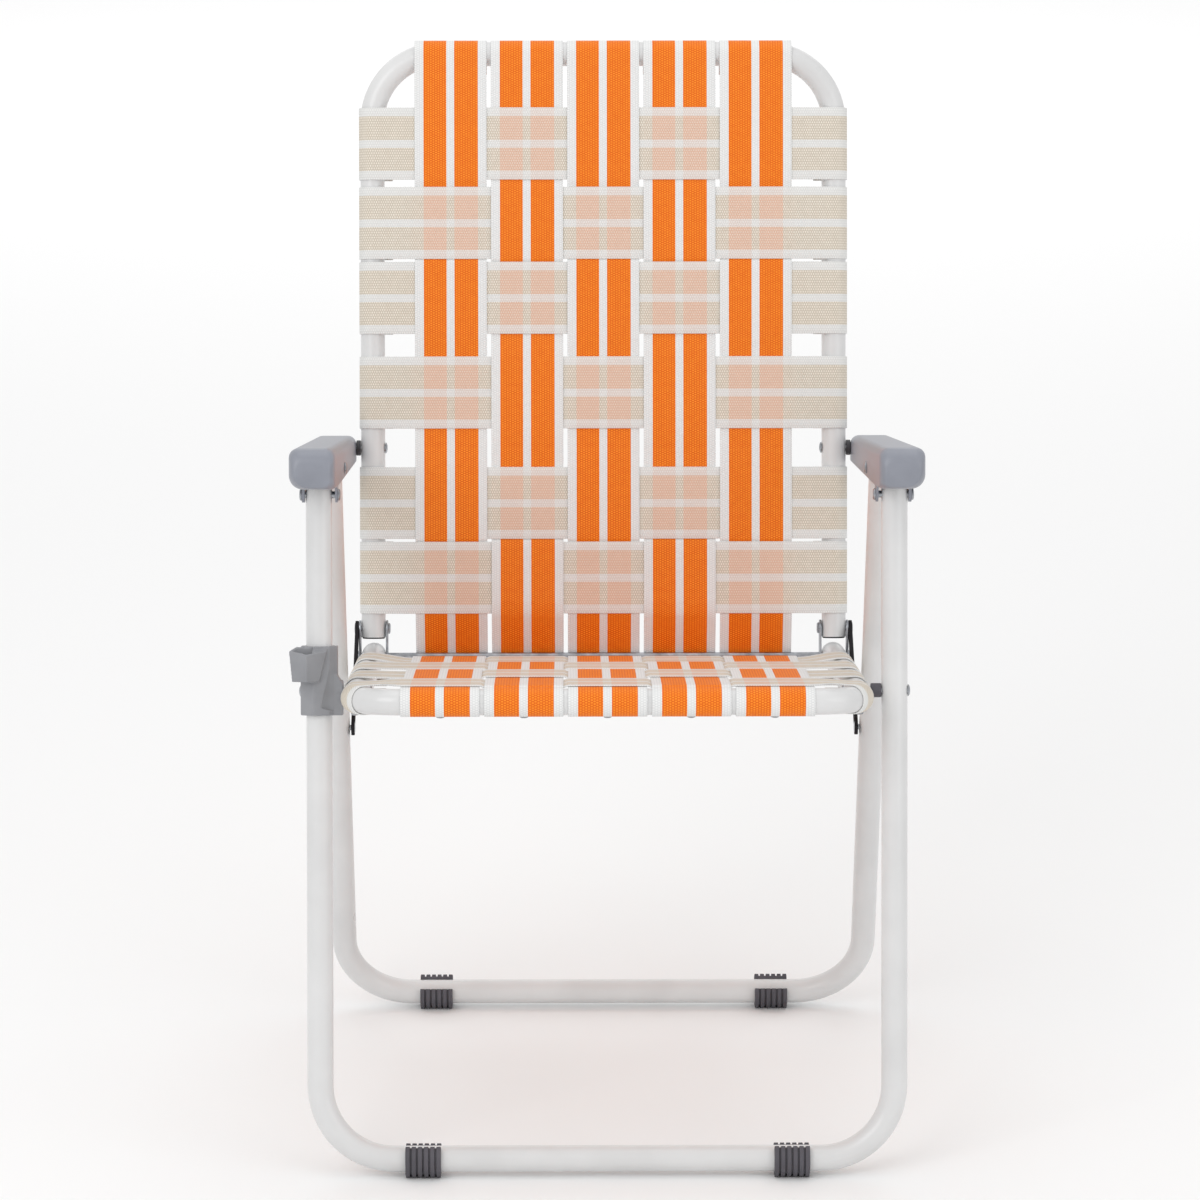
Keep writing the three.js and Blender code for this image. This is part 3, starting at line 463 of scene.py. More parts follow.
def webbing(name, stripe_shades, edge_shades, glow):
    """Both pairs of shades run from the valleys of the weave, darker as painted shade, to its dots, lighter
    as painted light.
    """
    material, tree, shader = new_material(name, {"Specular IOR Level": 0.25, "Roughness": 0.55})
    uv = node(tree, "ShaderNodeUVMap", uv_map=WEBBING_UV)
    parts = node(tree, "ShaderNodeSeparateXYZ", {"Vector": uv})
    share = node(tree, MATH, {0: parts.outputs["X"], 1: STRAP_WIDTH}, operation="DIVIDE")
    dye_and_sheen = node(tree, "ShaderNodeTexNoise", {"Vector": uv, "Scale": 1 / DYE_AND_SHEEN_PATCH, "Detail": 3})
    weave = plain_weave(tree, parts.outputs["X"], parts.outputs["Y"], dye_and_sheen)
    dark, light = [stripes(tree, share, linear(edge), linear(stripe))
                   for stripe, edge in zip(stripe_shades, edge_shades)]
    # The height of the weave picks the colour: painted shade in the valleys, painted light on the dots.
    lit = node(tree, "ShaderNodeMapRange", {"Value": weave, "From Max": 0.75})
    # Slow patches stand for uneven dye and for uneven sheen, painted as lighter colour: they scale how far
    # the colour goes towards the dots.
    mottle = node(tree, "ShaderNodeMapRange", {"Value": dye_and_sheen, "From Min": 0.3, "From Max": 0.7,
                                               "To Min": 0.75, "To Max": 1.1})
    blend = node(tree, MATH, {0: lit, 1: mottle}, operation="MULTIPLY")
    cloth = node(tree, "ShaderNodeMix", {FACTOR: blend, COLOUR_A: dark, COLOUR_B: light},
                 data_type="RGBA").outputs[COLOUR_OUT]
    if glow:
        cloth = salmon_glow(tree, share, cloth, lit)
    tree.links.new(cloth, shader.inputs["Base Color"])
    bump = node(tree, "ShaderNodeBump", {"Height": weave, "Strength": 0.35, "Distance": 0.3 * MM})
    tree.links.new(bump.outputs["Normal"], shader.inputs["Normal"])
    return material


orange_webbing = webbing("orange_polypropylene_webbing", ("#DC5F00", "#FF9526"), ("#D9DADA", "#EDEDEC"),
                         glow=False)
beige_webbing = webbing("beige_polypropylene_webbing", ("#C3B9A9", "#ECE4D8"), ("#D6D6D4", "#E9E9E7"),
                        glow=True)
print("made", orange_webbing.name, beige_webbing.name)

# %% [markdown]
# ## The four tube frames
# A bent tube is a ring swept along a line of straights and arcs. A curve with a round bevel
# would give the outside in one step, but not the wall that shows at the open ends, so the
# rings are placed here: 48 points round, which leaves no corner in a highlight, and small
# steps in the bends.

# %% Sweeping a hollow tube
TUBE_WALL = 1.2 * MM
TUBE_SIDES = 48
BEND_STEPS = 18


def bent_line(corners, radius):
    """Places and headings along straights joined by arcs of one radius."""
    places = [(corners[0], (corners[1] - corners[0]).normalized())]
    for before, corner, after in zip(corners, corners[1:], corners[2:]):
        into = (corner - before).normalized()
        out = (after - corner).normalized()
        turn = into.angle(out)
        start = corner - into * radius * math.tan(turn / 2)
        inward = (out - into * into.dot(out)).normalized()
        for step in range(BEND_STEPS + 1):
            angle = turn * step / BEND_STEPS
            place = start + into * radius * math.sin(angle) + inward * radius * (1 - math.cos(angle))
            places.append((place, into * math.cos(angle) + inward * math.sin(angle)))
    places.append((corners[-1], (corners[-1] - corners[-2]).normalized()))
    return places


def tube_frame(name, half_width, ends, rail, bend, body, node_name):
    """A U of tube from its left open end, round the rail, to its right open end."""
    corners = [at(-half_width, ends), at(-half_width, rail), at(half_width, rail), at(half_width, ends)]
    line = bent_line(corners, bend)
    plane_normal = (corners[1] - corners[0]).cross(corners[2] - corners[1]).normalized()
    outer, inner = [[ring_points(place, heading.cross(plane_normal), plane_normal, radius, TUBE_SIDES)
                     for place, heading in line] for radius in (TUBE_RADIUS, TUBE_RADIUS - TUBE_WALL)]
    rings = outer + inner[::-1]
    verts = [v for ring in rings for v in ring]
    faces = ring_faces(len(rings), TUBE_SIDES, looped=True)
    return piece(name, verts, faces, white_coat, body, (node_name,), "powder_coat")


print("bends in steps of", 90 / BEND_STEPS, "degrees")

# %% Sizes of the four frames
# Half widths run from the middle of the chair to the middle of a tube.
FRONT_HALF_WIDTH = 241.4 * MM
REAR_HALF_WIDTH = 238.9 * MM
SEAT_HALF_WIDTH = 210 * MM
SEAT_LENGTH = 444.02 * MM
BACK_RISE = 522.94 * MM
LEG_BEND = 62 * MM
SEAT_BEND = 38 * MM
BACK_BEND = 62 * MM
TUBE_END = 12 * MM
BACK_TUBE_END = 8 * MM
FRONT_TOP = ARM_PIN + LEG_UP * TUBE_END
REAR_TOP = REAR_PIN + REAR_UP * TUBE_END
SEAT_FRONT = in_frame(ROD, SEAT_UP, -SEAT_LENGTH, 0)
SEAT_END = in_frame(ROD, SEAT_UP, TUBE_END, 0)
BACK_TOP = HINGE + LEG_UP * BACK_RISE
BACK_END = HINGE - LEG_UP * BACK_TUBE_END
print("the legs are", round(2 * (FRONT_HALF_WIDTH + TUBE_RADIUS) / MM, 1), "mm wide over their tubes")

# %% The four frames
tube_frame("front_leg_tube", FRONT_HALF_WIDTH, FRONT_TOP, FRONT_FOOT, LEG_BEND,
           "front_legs", "front_leg_frame")
tube_frame("rear_leg_tube", REAR_HALF_WIDTH, REAR_TOP, REAR_FOOT, LEG_BEND, "rear_legs", "rear_leg_frame")
tube_frame("seat_tube", SEAT_HALF_WIDTH, SEAT_END, SEAT_FRONT, SEAT_BEND, "seat", "seat_frame")
tube_frame("backrest_tube", SEAT_HALF_WIDTH, BACK_END, BACK_TOP, BACK_BEND, "backrest", "back_frame")
print("tube frames made with", TUBE_SIDES, "sides")

# %% [markdown]
# ## The webbing
# Each strap is a thin band swept along the line that its middle follows. A cloth simulation
# could settle it, but woven tape under tension lies in plain runs and wraps, so its line can
# be drawn. Its cross-section has rounded selvedges, as woven tape has. The map of a strap
# holds real distances, across and along, so that the weave is the same size everywhere.

# %% Section and measure of a strap
STRAP_THICKNESS = 1.0 * MM
SECTION_STEPS = 14
EDGE_STEPS = 4


def band_section():
    """Points round a strap's section as (across, height), with half-round selvedges."""
    radius = STRAP_THICKNESS / 2
    flat = STRAP_WIDTH / 2 - radius
    top = [(-flat + 2 * flat * i / SECTION_STEPS, radius) for i in range(SECTION_STEPS + 1)]
    angles = [math.pi * i / EDGE_STEPS for i in range(1, EDGE_STEPS)]
    right = [(flat + radius * math.sin(a), radius * math.cos(a)) for a in angles]
    return top + right + [(-across, -height) for across, height in top + right]


def line_normals(line):
    normals = []
    for i, place in enumerate(line):
        before, after = line[max(i - 1, 0)], line[min(i + 1, len(line) - 1)]
        heading = (after - before).normalized()
        normals.append(Vector((-heading.y, heading.x)))
    return normals


def line_lengths(line):
    lengths = [0.0]
    for before, after in zip(line, line[1:]):
        lengths.append(lengths[-1] + (after - before).length)
    return lengths


print("a strap has", len(band_section()), "points round its section")

# %% A band along a line
def band(name, line, place):
    """A strap and its length. The line is 2-D, and place turns (point, across) into 3-D."""
    section = band_section()
    lengths = line_lengths(line)
    verts = []
    marks = []
    for point, normal, length in zip(line, line_normals(line), lengths):
        for across, height in section:
            verts.append(place(point + normal * height, across))
            marks.append((across + STRAP_WIDTH / 2, length))
    made = plain_object(name, verts, ring_faces(len(line), len(section)))
    layer = made.data.uv_layers.new(name=WEBBING_UV)
    for loop in made.data.loops:
        layer.data[loop.index].uv = marks[loop.vertex_index]
    return made, lengths[-1]


def turned(centre, radius, start, end, steps):
    angles = [start + (end - start) * i / steps for i in range(steps + 1)]
    return [centre + Vector((math.cos(a), math.sin(a))) * radius for a in angles]


def flat_run(start, end, steps=5):
    """A straight run between two points, without its first point."""
    return [start.lerp(end, i / steps) for i in range(1, steps + 1)]


print("a flat run has", len(flat_run(HINGE, ROD)), "steps")

# %% [markdown]
# ### Over and under
# Where two straps cross, one lies a thickness above the other. Between crossings a strap eases
# from one height to the other in an S, because stiff tape does not bend sharply. Each end
# wraps round a tube and lies behind it as a short tail. The same two moves, a wrap and a row
# of crossings, draw every strap of the chair.

# %% Wraps and crossings
STRAP_TAIL = 18 * MM
WEAVE_STEP = (STRAP_THICKNESS + CLEARANCE) / 2
WEB_LOW = TUBE_RADIUS + CLEARANCE + STRAP_THICKNESS / 2
WEB_MIDDLE = WEB_LOW + WEAVE_STEP
RAMP_STEPS = 6
WRAP_STEPS = 16
EASE_IN = 0.5 * MM


def smooth_share(share):
    """Eases a share from 0 to 1, slow at both ends."""
    return share * share * (3 - 2 * share)


def eased(start, end):
    """An S-shaped run between two points, without its first point."""
    run = []
    for i in range(1, RAMP_STEPS + 1):
        share = i / RAMP_STEPS
        height = start.y + (end.y - start.y) * smooth_share(share)
        run.append(Vector((start.x + (end.x - start.x) * share, height)))
    return run


def wrapped_end(tube, outward):
    """From the tip of a tail round the outside of a tube. The tube is this far along."""
    tail = [Vector((tube - outward * length, -WEB_LOW)) for length in (STRAP_TAIL, STRAP_TAIL / 2)]
    behind = -math.pi / 2
    return tail + turned(Vector((tube, 0)), WEB_LOW, behind, behind + outward * math.pi, WRAP_STEPS)


def long_strap_on_top(column, row):
    return (column + row) % 2 == 0


def crossing_height(sag, on_top):
    """Height of a strap's middle where it passes over or under another one."""
    return WEB_MIDDLE - sag + (WEAVE_STEP if on_top else -WEAVE_STEP)


def woven(line, centres, heights, way=1):
    """Leads a line on over crossings: level across each one, eased in between."""
    reach = way * (STRAP_WIDTH / 2 - EASE_IN)
    for centre, height in zip(centres, heights):
        first = Vector((centre - reach, height))
        line = line + (eased(line[-1], first) if line else [first])
        line += flat_run(first, Vector((centre + reach, height)))
    return line


def ended_at(line, tube):
    """Leads a line on to the front of a tube and round it to the tip of its tail."""
    last = wrapped_end(tube, 1)[::-1]
    return line + eased(line[-1], last[0]) + last[1:]


print("straps step", round(WEAVE_STEP / MM, 2), "mm up and down")

# %% [markdown]
# ### Cross straps
# A beige strap starts behind one side tube, wraps round its outside, weaves over and under
# the five orange straps and wraps round the other tube. Its ends are screwed to the tubes
# from behind. An attribute on the mesh says where it lies over an orange strap, because
# there the orange shines through.

# %% Cross straps
def column_centre(column):
    return (column - (STRAP_COUNT - 1) / 2) * STRAP_PITCH


def cross_line(row, sag):
    """The line as (x, outward from the frame's plane)."""
    columns = range(STRAP_COUNT)
    heights = [crossing_height(sag, not long_strap_on_top(column, row)) for column in columns]
    line = woven(wrapped_end(-SEAT_HALF_WIDTH, -1), [column_centre(c) for c in columns], heights)
    return ended_at(line, SEAT_HALF_WIDTH)


def mark_over_orange(made, row):
    """1 where the strap passes over an orange one, 0 where it passes under or over nothing."""
    over = []
    for vert in made.data.vertices:
        column = round(vert.co.x / STRAP_PITCH + (STRAP_COUNT - 1) / 2)
        crosses = 0 <= column < STRAP_COUNT and not long_strap_on_top(column, row)
        near = abs(vert.co.x - column_centre(column)) <= STRAP_WIDTH / 2
        over.append(float(crosses and near))
    layer = made.data.attributes.new("over_orange", "FLOAT", "POINT")
    layer.data.foreach_set("value", over)


def cross_strap(name, row, sag, origin, up, outward, centre, body, node_name, gather=None):
    """gather moves the (x, distance) of a point, where a strap is drawn in."""
    def place(point, across):
        x, distance = gather(point.x, across) if gather else (point.x, centre + across)
        return at(x, origin + outward * point.y + up * distance)

    made, length = band(name, cross_line(row, sag), place)
    mark_over_orange(made, row)
    finish_piece(made, beige_webbing, body, (node_name,), "beige_webbing")
    return length


print("crossings at", [round(column_centre(column) / MM, 1) for column in range(STRAP_COUNT)], "mm")

# %% Cross straps of the backrest
BACK_ROWS = [440.94 * MM, 368.96 * MM, 300.97 * MM, 214.97 * MM, 114.49 * MM, 46.5 * MM]
for row, centre in enumerate(BACK_ROWS):
    length = cross_strap(f"backrest_cross_webbing_{row + 1}", row, 0, HINGE, LEG_UP, -rearward(LEG_UP),
                         centre, "backrest", f"back_cross_strap_{row + 1}")
print("backrest cross straps are", round(length / MM), "mm long")

# %% [markdown]
# ### Cross straps of the seat
# They are made in the same way, on a frame that lies flat. The foremost one reaches the
# bends of the tube, so its wraps are drawn in like a gathered cuff and follow the bend. The
# straps further back carry the sitter and sag a few millimetres.

# %% Seat cross straps
SEAT_ROWS = [137 * MM, 230.99 * MM, 316.01 * MM, 409.02 * MM]
SEAT_SAG = [5 * MM, 2 * MM, 0.8 * MM, 0]
CUFF_SHARE = 0.69
CUFF_SHIFT = 1.5 * MM
LAST_EDGE = column_centre(STRAP_COUNT - 1) + STRAP_WIDTH / 2
RAIL_INSIDE = SEAT_HALF_WIDTH - TUBE_RADIUS
BEND_START_LENGTH = SEAT_LENGTH - SEAT_BEND
BEND_CENTRE = SEAT_HALF_WIDTH - SEAT_BEND


def cuff(x, across):
    """Where a point of the foremost strap goes: (x, distance ahead of the rod)."""
    share = smooth_share(min(max((abs(x) - LAST_EDGE) / (RAIL_INSIDE - LAST_EDGE), 0), 1))
    distance = SEAT_ROWS[-1] + across * (1 - (1 - CUFF_SHARE) * share) - CUFF_SHIFT * share
    turn = max(distance - BEND_START_LENGTH, 0) / SEAT_BEND
    reach = abs(x) - BEND_CENTRE
    bent_x = BEND_CENTRE + reach * math.cos(turn)
    bent_distance = min(distance, BEND_START_LENGTH) + reach * math.sin(turn)
    moved_x = abs(x) + (bent_x - abs(x)) * share
    return math.copysign(moved_x, x), distance + (bent_distance - distance) * share


SEAT_FORWARD = -rearward(SEAT_UP)
for index, (centre, sag) in enumerate(zip(SEAT_ROWS, SEAT_SAG)):
    foremost = index == len(SEAT_ROWS) - 1
    length = cross_strap(f"seat_cross_webbing_{index + 1}", len(BACK_ROWS) + index, sag, ROD, SEAT_FORWARD,
                         SEAT_UP, centre, "seat", f"seat_cross_strap_{index + 1}",
                         cuff if foremost else None)
print("seat cross straps are", round(length / MM), "mm long")

# %% [markdown]
# ### Long straps
# An orange strap is one piece for the backrest and the seat. It starts behind the top tube,
# comes over it, weaves down the backrest, goes behind and under the rod, weaves forward over
# the seat and wraps the front tube. Two separate bands would part at the hinge when the chair
# folds, so it is one band, and it is not hung on either body.

# %% The line of a long strap
ROD_RADIUS = 2.75 * MM
ROD_WRAP = ROD_RADIUS + CLEARANCE + STRAP_THICKNESS / 2
DROP_STEPS = 8
ROD_STEPS = 8
LEAVE_STEPS = 10


def tangent_point(start, centre, radius, side):
    """Where a line from start touches a circle, and the angle of that place on it."""
    offset = start - centre
    spread = math.acos(radius / offset.length)
    angle = math.atan2(offset.y, offset.x) + side * spread
    return centre + Vector((math.cos(angle), math.sin(angle))) * radius, angle


def back_line(column):
    """Down the backrest, as (distance above the hinge, height in front of the tubes)."""
    heights = [crossing_height(0, long_strap_on_top(column, row)) for row in range(len(BACK_ROWS))]
    return woven(wrapped_end(BACK_RISE, 1), BACK_ROWS, heights, way=-1)


def seat_line(column):
    """Forward over the seat, as (distance ahead of the rod, height above the rails)."""
    heights = [crossing_height(sag, long_strap_on_top(column, len(BACK_ROWS) + index))
               for index, sag in enumerate(SEAT_SAG)]
    return ended_at(woven([], SEAT_ROWS, heights), SEAT_LENGTH)


def long_line(column):
    """The whole strap in the side view."""
    back = [in_frame(HINGE, LEG_UP, -p.y, p.x) for p in back_line(column)]
    seat = [in_frame(ROD, SEAT_UP, -p.x, p.y) for p in seat_line(column)]
    touch, from_angle = tangent_point(back[-1], ROD, ROD_WRAP, -1)
    leave, to_angle = tangent_point(seat[0], ROD, ROD_WRAP, 1)
    while to_angle > from_angle:
        to_angle -= 2 * math.pi
    under_rod = turned(ROD, ROD_WRAP, from_angle, to_angle, ROD_STEPS)[1:]
    return (back + flat_run(back[-1], touch, DROP_STEPS) + under_rod
            + flat_run(leave, seat[0], LEAVE_STEPS) + seat[1:])


print("a long strap is drawn through", len(long_line(0)), "points")

for column in range(STRAP_COUNT):
    middle = column_centre(column)
    made, length = band(f"long_webbing_{column + 1}", long_line(column),
                        lambda point, across: at(middle + across, point))
    finish_piece(made, orange_webbing, None)
    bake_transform(made)
    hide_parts(f"back_long_strap_{column + 1}", f"seat_long_strap_{column + 1}")
print("long straps are", round(length / MM), "mm long")

# %% [markdown]
# ## Armrests
# Each armrest is a moulded channel: a crowned top with round edges, two skirts and a bluff
# rounded nose that faces forward. A box with bevels would give the edges but not the nose, so
# its shape is a loft of rounded sections that shrink to nothing over the ends, hollowed from
# below. An inner lug and an outer ear reach down beside the leg and take the pin.

# %% Sizes of an armrest
ARM_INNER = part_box("armrest_right")[0].x
ARM_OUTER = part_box("armrest_right")[1].x
ARM_TOP = 40.3 * MM
ARM_WALL = 2.1 * MM
ARM_NOSE = -60 * MM
TAIL_PAST_BOLT = 18 * MM
ARM_TAIL = (BACK_PIN - ARM_PIN).dot(rearward(ARM_UP)) + TAIL_PAST_BOLT
NOSE_WALL = 12 * MM
NOSE_BOTTOM = ARM_TOP - 34.5 * MM
SKIRT_FRONT = 6.5 * MM
SKIRT_REAR = 17 * MM


def skirt_height(y):
    """Lower edge of the skirts: it drops behind the nose and rises to the tail."""
    if y < 0:
        share = min(max((y - ARM_NOSE) / -ARM_NOSE, 0), 1)
        return NOSE_BOTTOM + (SKIRT_FRONT - NOSE_BOTTOM) * share
    return SKIRT_FRONT + (SKIRT_REAR - SKIRT_FRONT) * y / ARM_TAIL


print("armrests are", round((ARM_TAIL - ARM_NOSE) / MM), "mm long")

# %% Section of an armrest
EDGE_RADIUS = 8 * MM
OUTER_LOW_RADIUS = 9 * MM
INNER_LOW_RADIUS = 1 * MM
CORNER_STEPS = 8


def rounded_section(left, right, low, high, radii):
    """A rectangle with round corners as (x, z) points: radii of the top, left low and right low."""
    # A radius stays just under half of the section, so that two corners never meet.
    limit = min(right - left, high - low) / 2.01
    top, low_left, low_right = [min(radius, limit) for radius in radii]
    corners = ((right, high, top, -1, -1), (left, high, top, 1, -1),
               (left, low, low_left, 1, 1), (right, low, low_right, -1, 1))
    points = []
    for quarter, (x, z, radius, inward, upward) in enumerate(corners):
        for i in range(CORNER_STEPS + 1):
            angle = (quarter + i / CORNER_STEPS) * math.pi / 2
            points.append((x + radius * (inward + math.cos(angle)), z + radius * (upward + math.sin(angle))))
    return points


print("armrest sections have", 4 * (CORNER_STEPS + 1), "points")

# %% Loft of an armrest
END_REACH = 14 * MM
END_STATIONS = 10
MIDDLE_STATIONS = 12
SIDE_DRAW = 6 * MM
TOP_DRAW = 13 * MM
LOW_DRAW = 2.5 * MM
NOSE_REACH = 30 * MM
NOSE_EXTRA = 5 * MM


def arm_stations(nose, tail):
    """Places along the arm, close together where the ends are round."""
    shares = [1 - math.cos(math.pi / 2 * i / END_STATIONS) for i in range(END_STATIONS + 1)]
    front = [nose + END_REACH * share for share in shares]
    back = [tail - END_REACH * share for share in shares]
    middle = [front[-1] + (back[-1] - front[-1]) * i / MIDDLE_STATIONS for i in range(1, MIDDLE_STATIONS)]
    return front + middle + back[::-1]


def arm_loft(side, inset):
    """Closed loft of the armrest's blank, or of its hollow when inset is the wall. The hollow
    ends well behind the nose and reaches down past the skirts."""
    nose = ARM_NOSE + NOSE_WALL if inset else ARM_NOSE
    tail = ARM_TAIL - inset
    stations = arm_stations(nose, tail)
    verts = []
    for y in stations:
        ends = min((y - nose) / END_REACH, (tail - y) / END_REACH, 1)
        draw_in = 1 - math.sqrt(max(1 - (1 - ends) ** 2, 0))
        left = ARM_INNER + inset + draw_in * SIDE_DRAW
        right = ARM_OUTER - inset - draw_in * SIDE_DRAW
        high = ARM_TOP - inset - draw_in * TOP_DRAW
        low = -ARM_TOP if inset else skirt_height(y) + draw_in * LOW_DRAW
        extra = max(1 - (y - nose) / NOSE_REACH, 0) * NOSE_EXTRA
        radii = (EDGE_RADIUS - inset / 2, INNER_LOW_RADIUS + extra, OUTER_LOW_RADIUS + extra)
        section = rounded_section(left, right, low, high, radii)
        verts += [at(side * x, in_frame(ARM_PIN, ARM_UP, y, z)) for x, z in section]
    return verts, ring_faces(len(stations), len(section))


print("the nose is rounded over", round(END_REACH / MM), "mm")

# %% Joining, cutting and rounding solids
EDGE_BREAK = 0.4 * MM
EDGE_ANGLE = math.radians(30)


def apply_modifiers(made):
    """Bakes the modifiers of an object into its mesh."""
    graph = bpy.context.evaluated_depsgraph_get()
    baked = bpy.data.meshes.new_from_object(made.evaluated_get(graph))
    made.modifiers.clear()
    made.data = baked


def combine(base, other, operation):
    """Joins or cuts with another object, which is then removed."""
    modifier = base.modifiers.new("combine", "BOOLEAN")
    modifier.operation = operation
    modifier.solver = "EXACT"
    modifier.object = other
    apply_modifiers(base)
    bpy.data.objects.remove(other)


def round_edges(made):
    modifier = made.modifiers.new("edges", "BEVEL")
    modifier.width = EDGE_BREAK
    modifier.segments = 2
    modifier.limit_method = "ANGLE"
    modifier.angle_limit = EDGE_ANGLE
    apply_modifiers(made)


def plate_along_x(name, outline, start, end, origin, up):
    """A flat plate from an outline of (rear, up) points, between two places along X."""
    verts = [at(x, in_frame(origin, up, y, z)) for x in (start, end) for y, z in outline]
    return plain_object(name, verts, ring_faces(2, len(outline)))


def arc_points(radius, start, end, steps=10, height=0):
    """An arc as (rear, up) points, round a centre at this height."""
    angles = [math.radians(start + (end - start) * i / steps) for i in range(steps + 1)]
    return [(radius * math.cos(a), height + radius * math.sin(a)) for a in angles]


print("plates have their edges broken by", EDGE_BREAK / MM, "mm")

# %% Two armrests
EAR_INNER = 253 * MM
EAR_OUTER = 255.5 * MM
LUG_DROP = 6.5 * MM
LUG_REACH = 17 * MM
PIN_BACK = 130 * MM
PIN_UP = 18.5 * MM
SIDES = (("left", -1), ("right", 1))


def armrest(side, word):
    made = plain_object(f"armrest_cover_{word}", *arm_loft(side, 0))
    combine(made, plain_object("hollow", *arm_loft(side, ARM_WALL)), "DIFFERENCE")
    round_end = arc_points(LUG_DROP, 180, 360)
    lug = [(-LUG_REACH, ARM_TOP / 2)] + round_end + [(LUG_REACH, ARM_TOP / 2)]
    under_top = ARM_TOP - ARM_WALL / 2
    ear = ([(-LUG_REACH, under_top)] + round_end
           + [(PIN_BACK + LUG_REACH, PIN_UP - LUG_DROP), (PIN_BACK + LUG_REACH, under_top)])
    inner = plate_along_x("lug", lug, side * ARM_INNER, side * (ARM_INNER + ARM_WALL), ARM_PIN, ARM_UP)
    combine(made, inner, "UNION")
    outer = plate_along_x("ear", ear, side * EAR_INNER, side * EAR_OUTER, ARM_PIN, ARM_UP)
    combine(made, outer, "UNION")
    return finish_piece(made, arm_plastic, "armrests", (f"armrest_{word}",), "arm_plastic")


for word, side in SIDES:
    made = armrest(side, word)
    print(made.name, len(made.data.vertices), "points")

# %% [markdown]
# ## Pins, rivets, bolts and screws
# They are turned pieces, so each is a profile spun round its axis, as on a lathe. Tubular
# rivets keep a bright rolled rim with a dark dimple in the middle, which is what the eye finds
# beside each joint. A shank with two heads put on it would be three meshes; a profile that
# runs from one end of the pin to the other makes each pin one solid.

# %% Spinning a profile
TURN_SIDES = 32
ACROSS, REAR, UP = Vector((1, 0, 0)), Vector((0, 1, 0)), Vector((0, 0, 1))


def spun(profile, place, axis, across, up, looped=False):
    """Verts and faces of (distance along the axis, radius) pairs spun round an axis."""
    verts = []
    for distance, radius in profile:
        verts += ring_points(place + axis * distance, across, up, radius, TURN_SIDES)
    return verts, ring_faces(len(profile), TURN_SIDES, looped)


def turned_piece(name, profile, place, body, replaced=(), slot=None):
    """A zinc-plated piece whose axis runs across the chair, through a side-view point."""
    return piece(name, *spun(profile, at(0, place), ACROSS, REAR, UP), zinc, body, replaced, slot)


print("turned pieces have", TURN_SIDES, "sides")

# %% Heads of the pins
PIN_RADIUS = 3 * MM
RIVET_RADIUS = 2.5 * MM
HEAD_RADIUS = 5 * MM
RIVET_HEAD_HEIGHT = 1.8 * MM
BOLT_HEAD_HEIGHT = 1.9 * MM
FLAT_HEAD_HEIGHT = 0.65 * MM
NUT_RADIUS = 4.8 * MM
NUT_HEIGHT = 3.4 * MM
NUT_BEVEL_ACROSS = 0.8 * MM
NUT_BEVEL_DOWN = 0.5 * MM


def head_profile(face, direction, height, points):
    """A head from its top to its shank, from (share of the height, radius) pairs."""
    return [(face + direction * height * share, radius) for share, radius in points]


def rivet_head(face, direction, shank):
    """The rolled rim of a tubular rivet round its dimple."""
    return head_profile(face, direction, RIVET_HEAD_HEIGHT, [
        (0.2, shank * 0.1), (0.25, shank * 0.55), (0.9, shank * 0.75), (1, HEAD_RADIUS * 0.72),
        (0.85, HEAD_RADIUS * 0.88), (0.45, HEAD_RADIUS), (0, HEAD_RADIUS), (0, shank)])


def dome_head(face, direction, shank, height):
    return head_profile(face, direction, height, [
        (1, HEAD_RADIUS * 0.03), (0.97, HEAD_RADIUS * 0.3), (0.82, HEAD_RADIUS * 0.62),
        (0.5, HEAD_RADIUS * 0.88), (0.2, HEAD_RADIUS), (0, HEAD_RADIUS), (0, shank)])


def bolt_head(face, direction, shank):
    return dome_head(face, direction, shank, BOLT_HEAD_HEIGHT)


def flat_head(face, direction, shank):
    return dome_head(face, direction, shank, FLAT_HEAD_HEIGHT)


def flush_end(face, direction, shank):
    return head_profile(face, direction, 0, [(0, shank * 0.1), (0, shank)])


def nut_head(face, direction, shank):
    shoulder = 1 - NUT_BEVEL_DOWN / NUT_HEIGHT
    return head_profile(face, direction, NUT_HEIGHT, [
        (1, shank * 0.5), (1, NUT_RADIUS - NUT_BEVEL_ACROSS), (shoulder, NUT_RADIUS),
        (0, NUT_RADIUS), (0, shank)])


print("rivet heads are", 2 * HEAD_RADIUS / MM, "mm across")

# %% Pins of the joints
TUBE_NEAR = SEAT_HALF_WIDTH - TUBE_RADIUS - CLEARANCE
PLATE_THICKNESS = 2 * MM
STRUT_INNER = 223.6 * MM
STRUT_OUTER = 226.6 * MM
STRUT_DOWN = 277 * MM
STRUT_PIN = REAR_PIN - REAR_UP * STRUT_DOWN
# A head takes this much of a drawn pin at each end.
HEAD_ROOM = 2 * MM


def outer_end(node_name, side):
    """Where the shank of a drawn pin ends on the outside, short of its head."""
    low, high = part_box(node_name)
    return (high.x if side > 0 else -low.x) - HEAD_ROOM


def pin_between(name, side, place, inner, outer, shank, heads, body, node_name):
    """A pin on the right of the chair, or its mirror image on the left."""
    profile = heads[0](inner, -1, shank) + heads[1](outer, 1, shank)[::-1]
    if side < 0:
        profile = [(-distance, radius) for distance, radius in profile]
    return turned_piece(name, profile, place, body, (node_name,), "zinc")


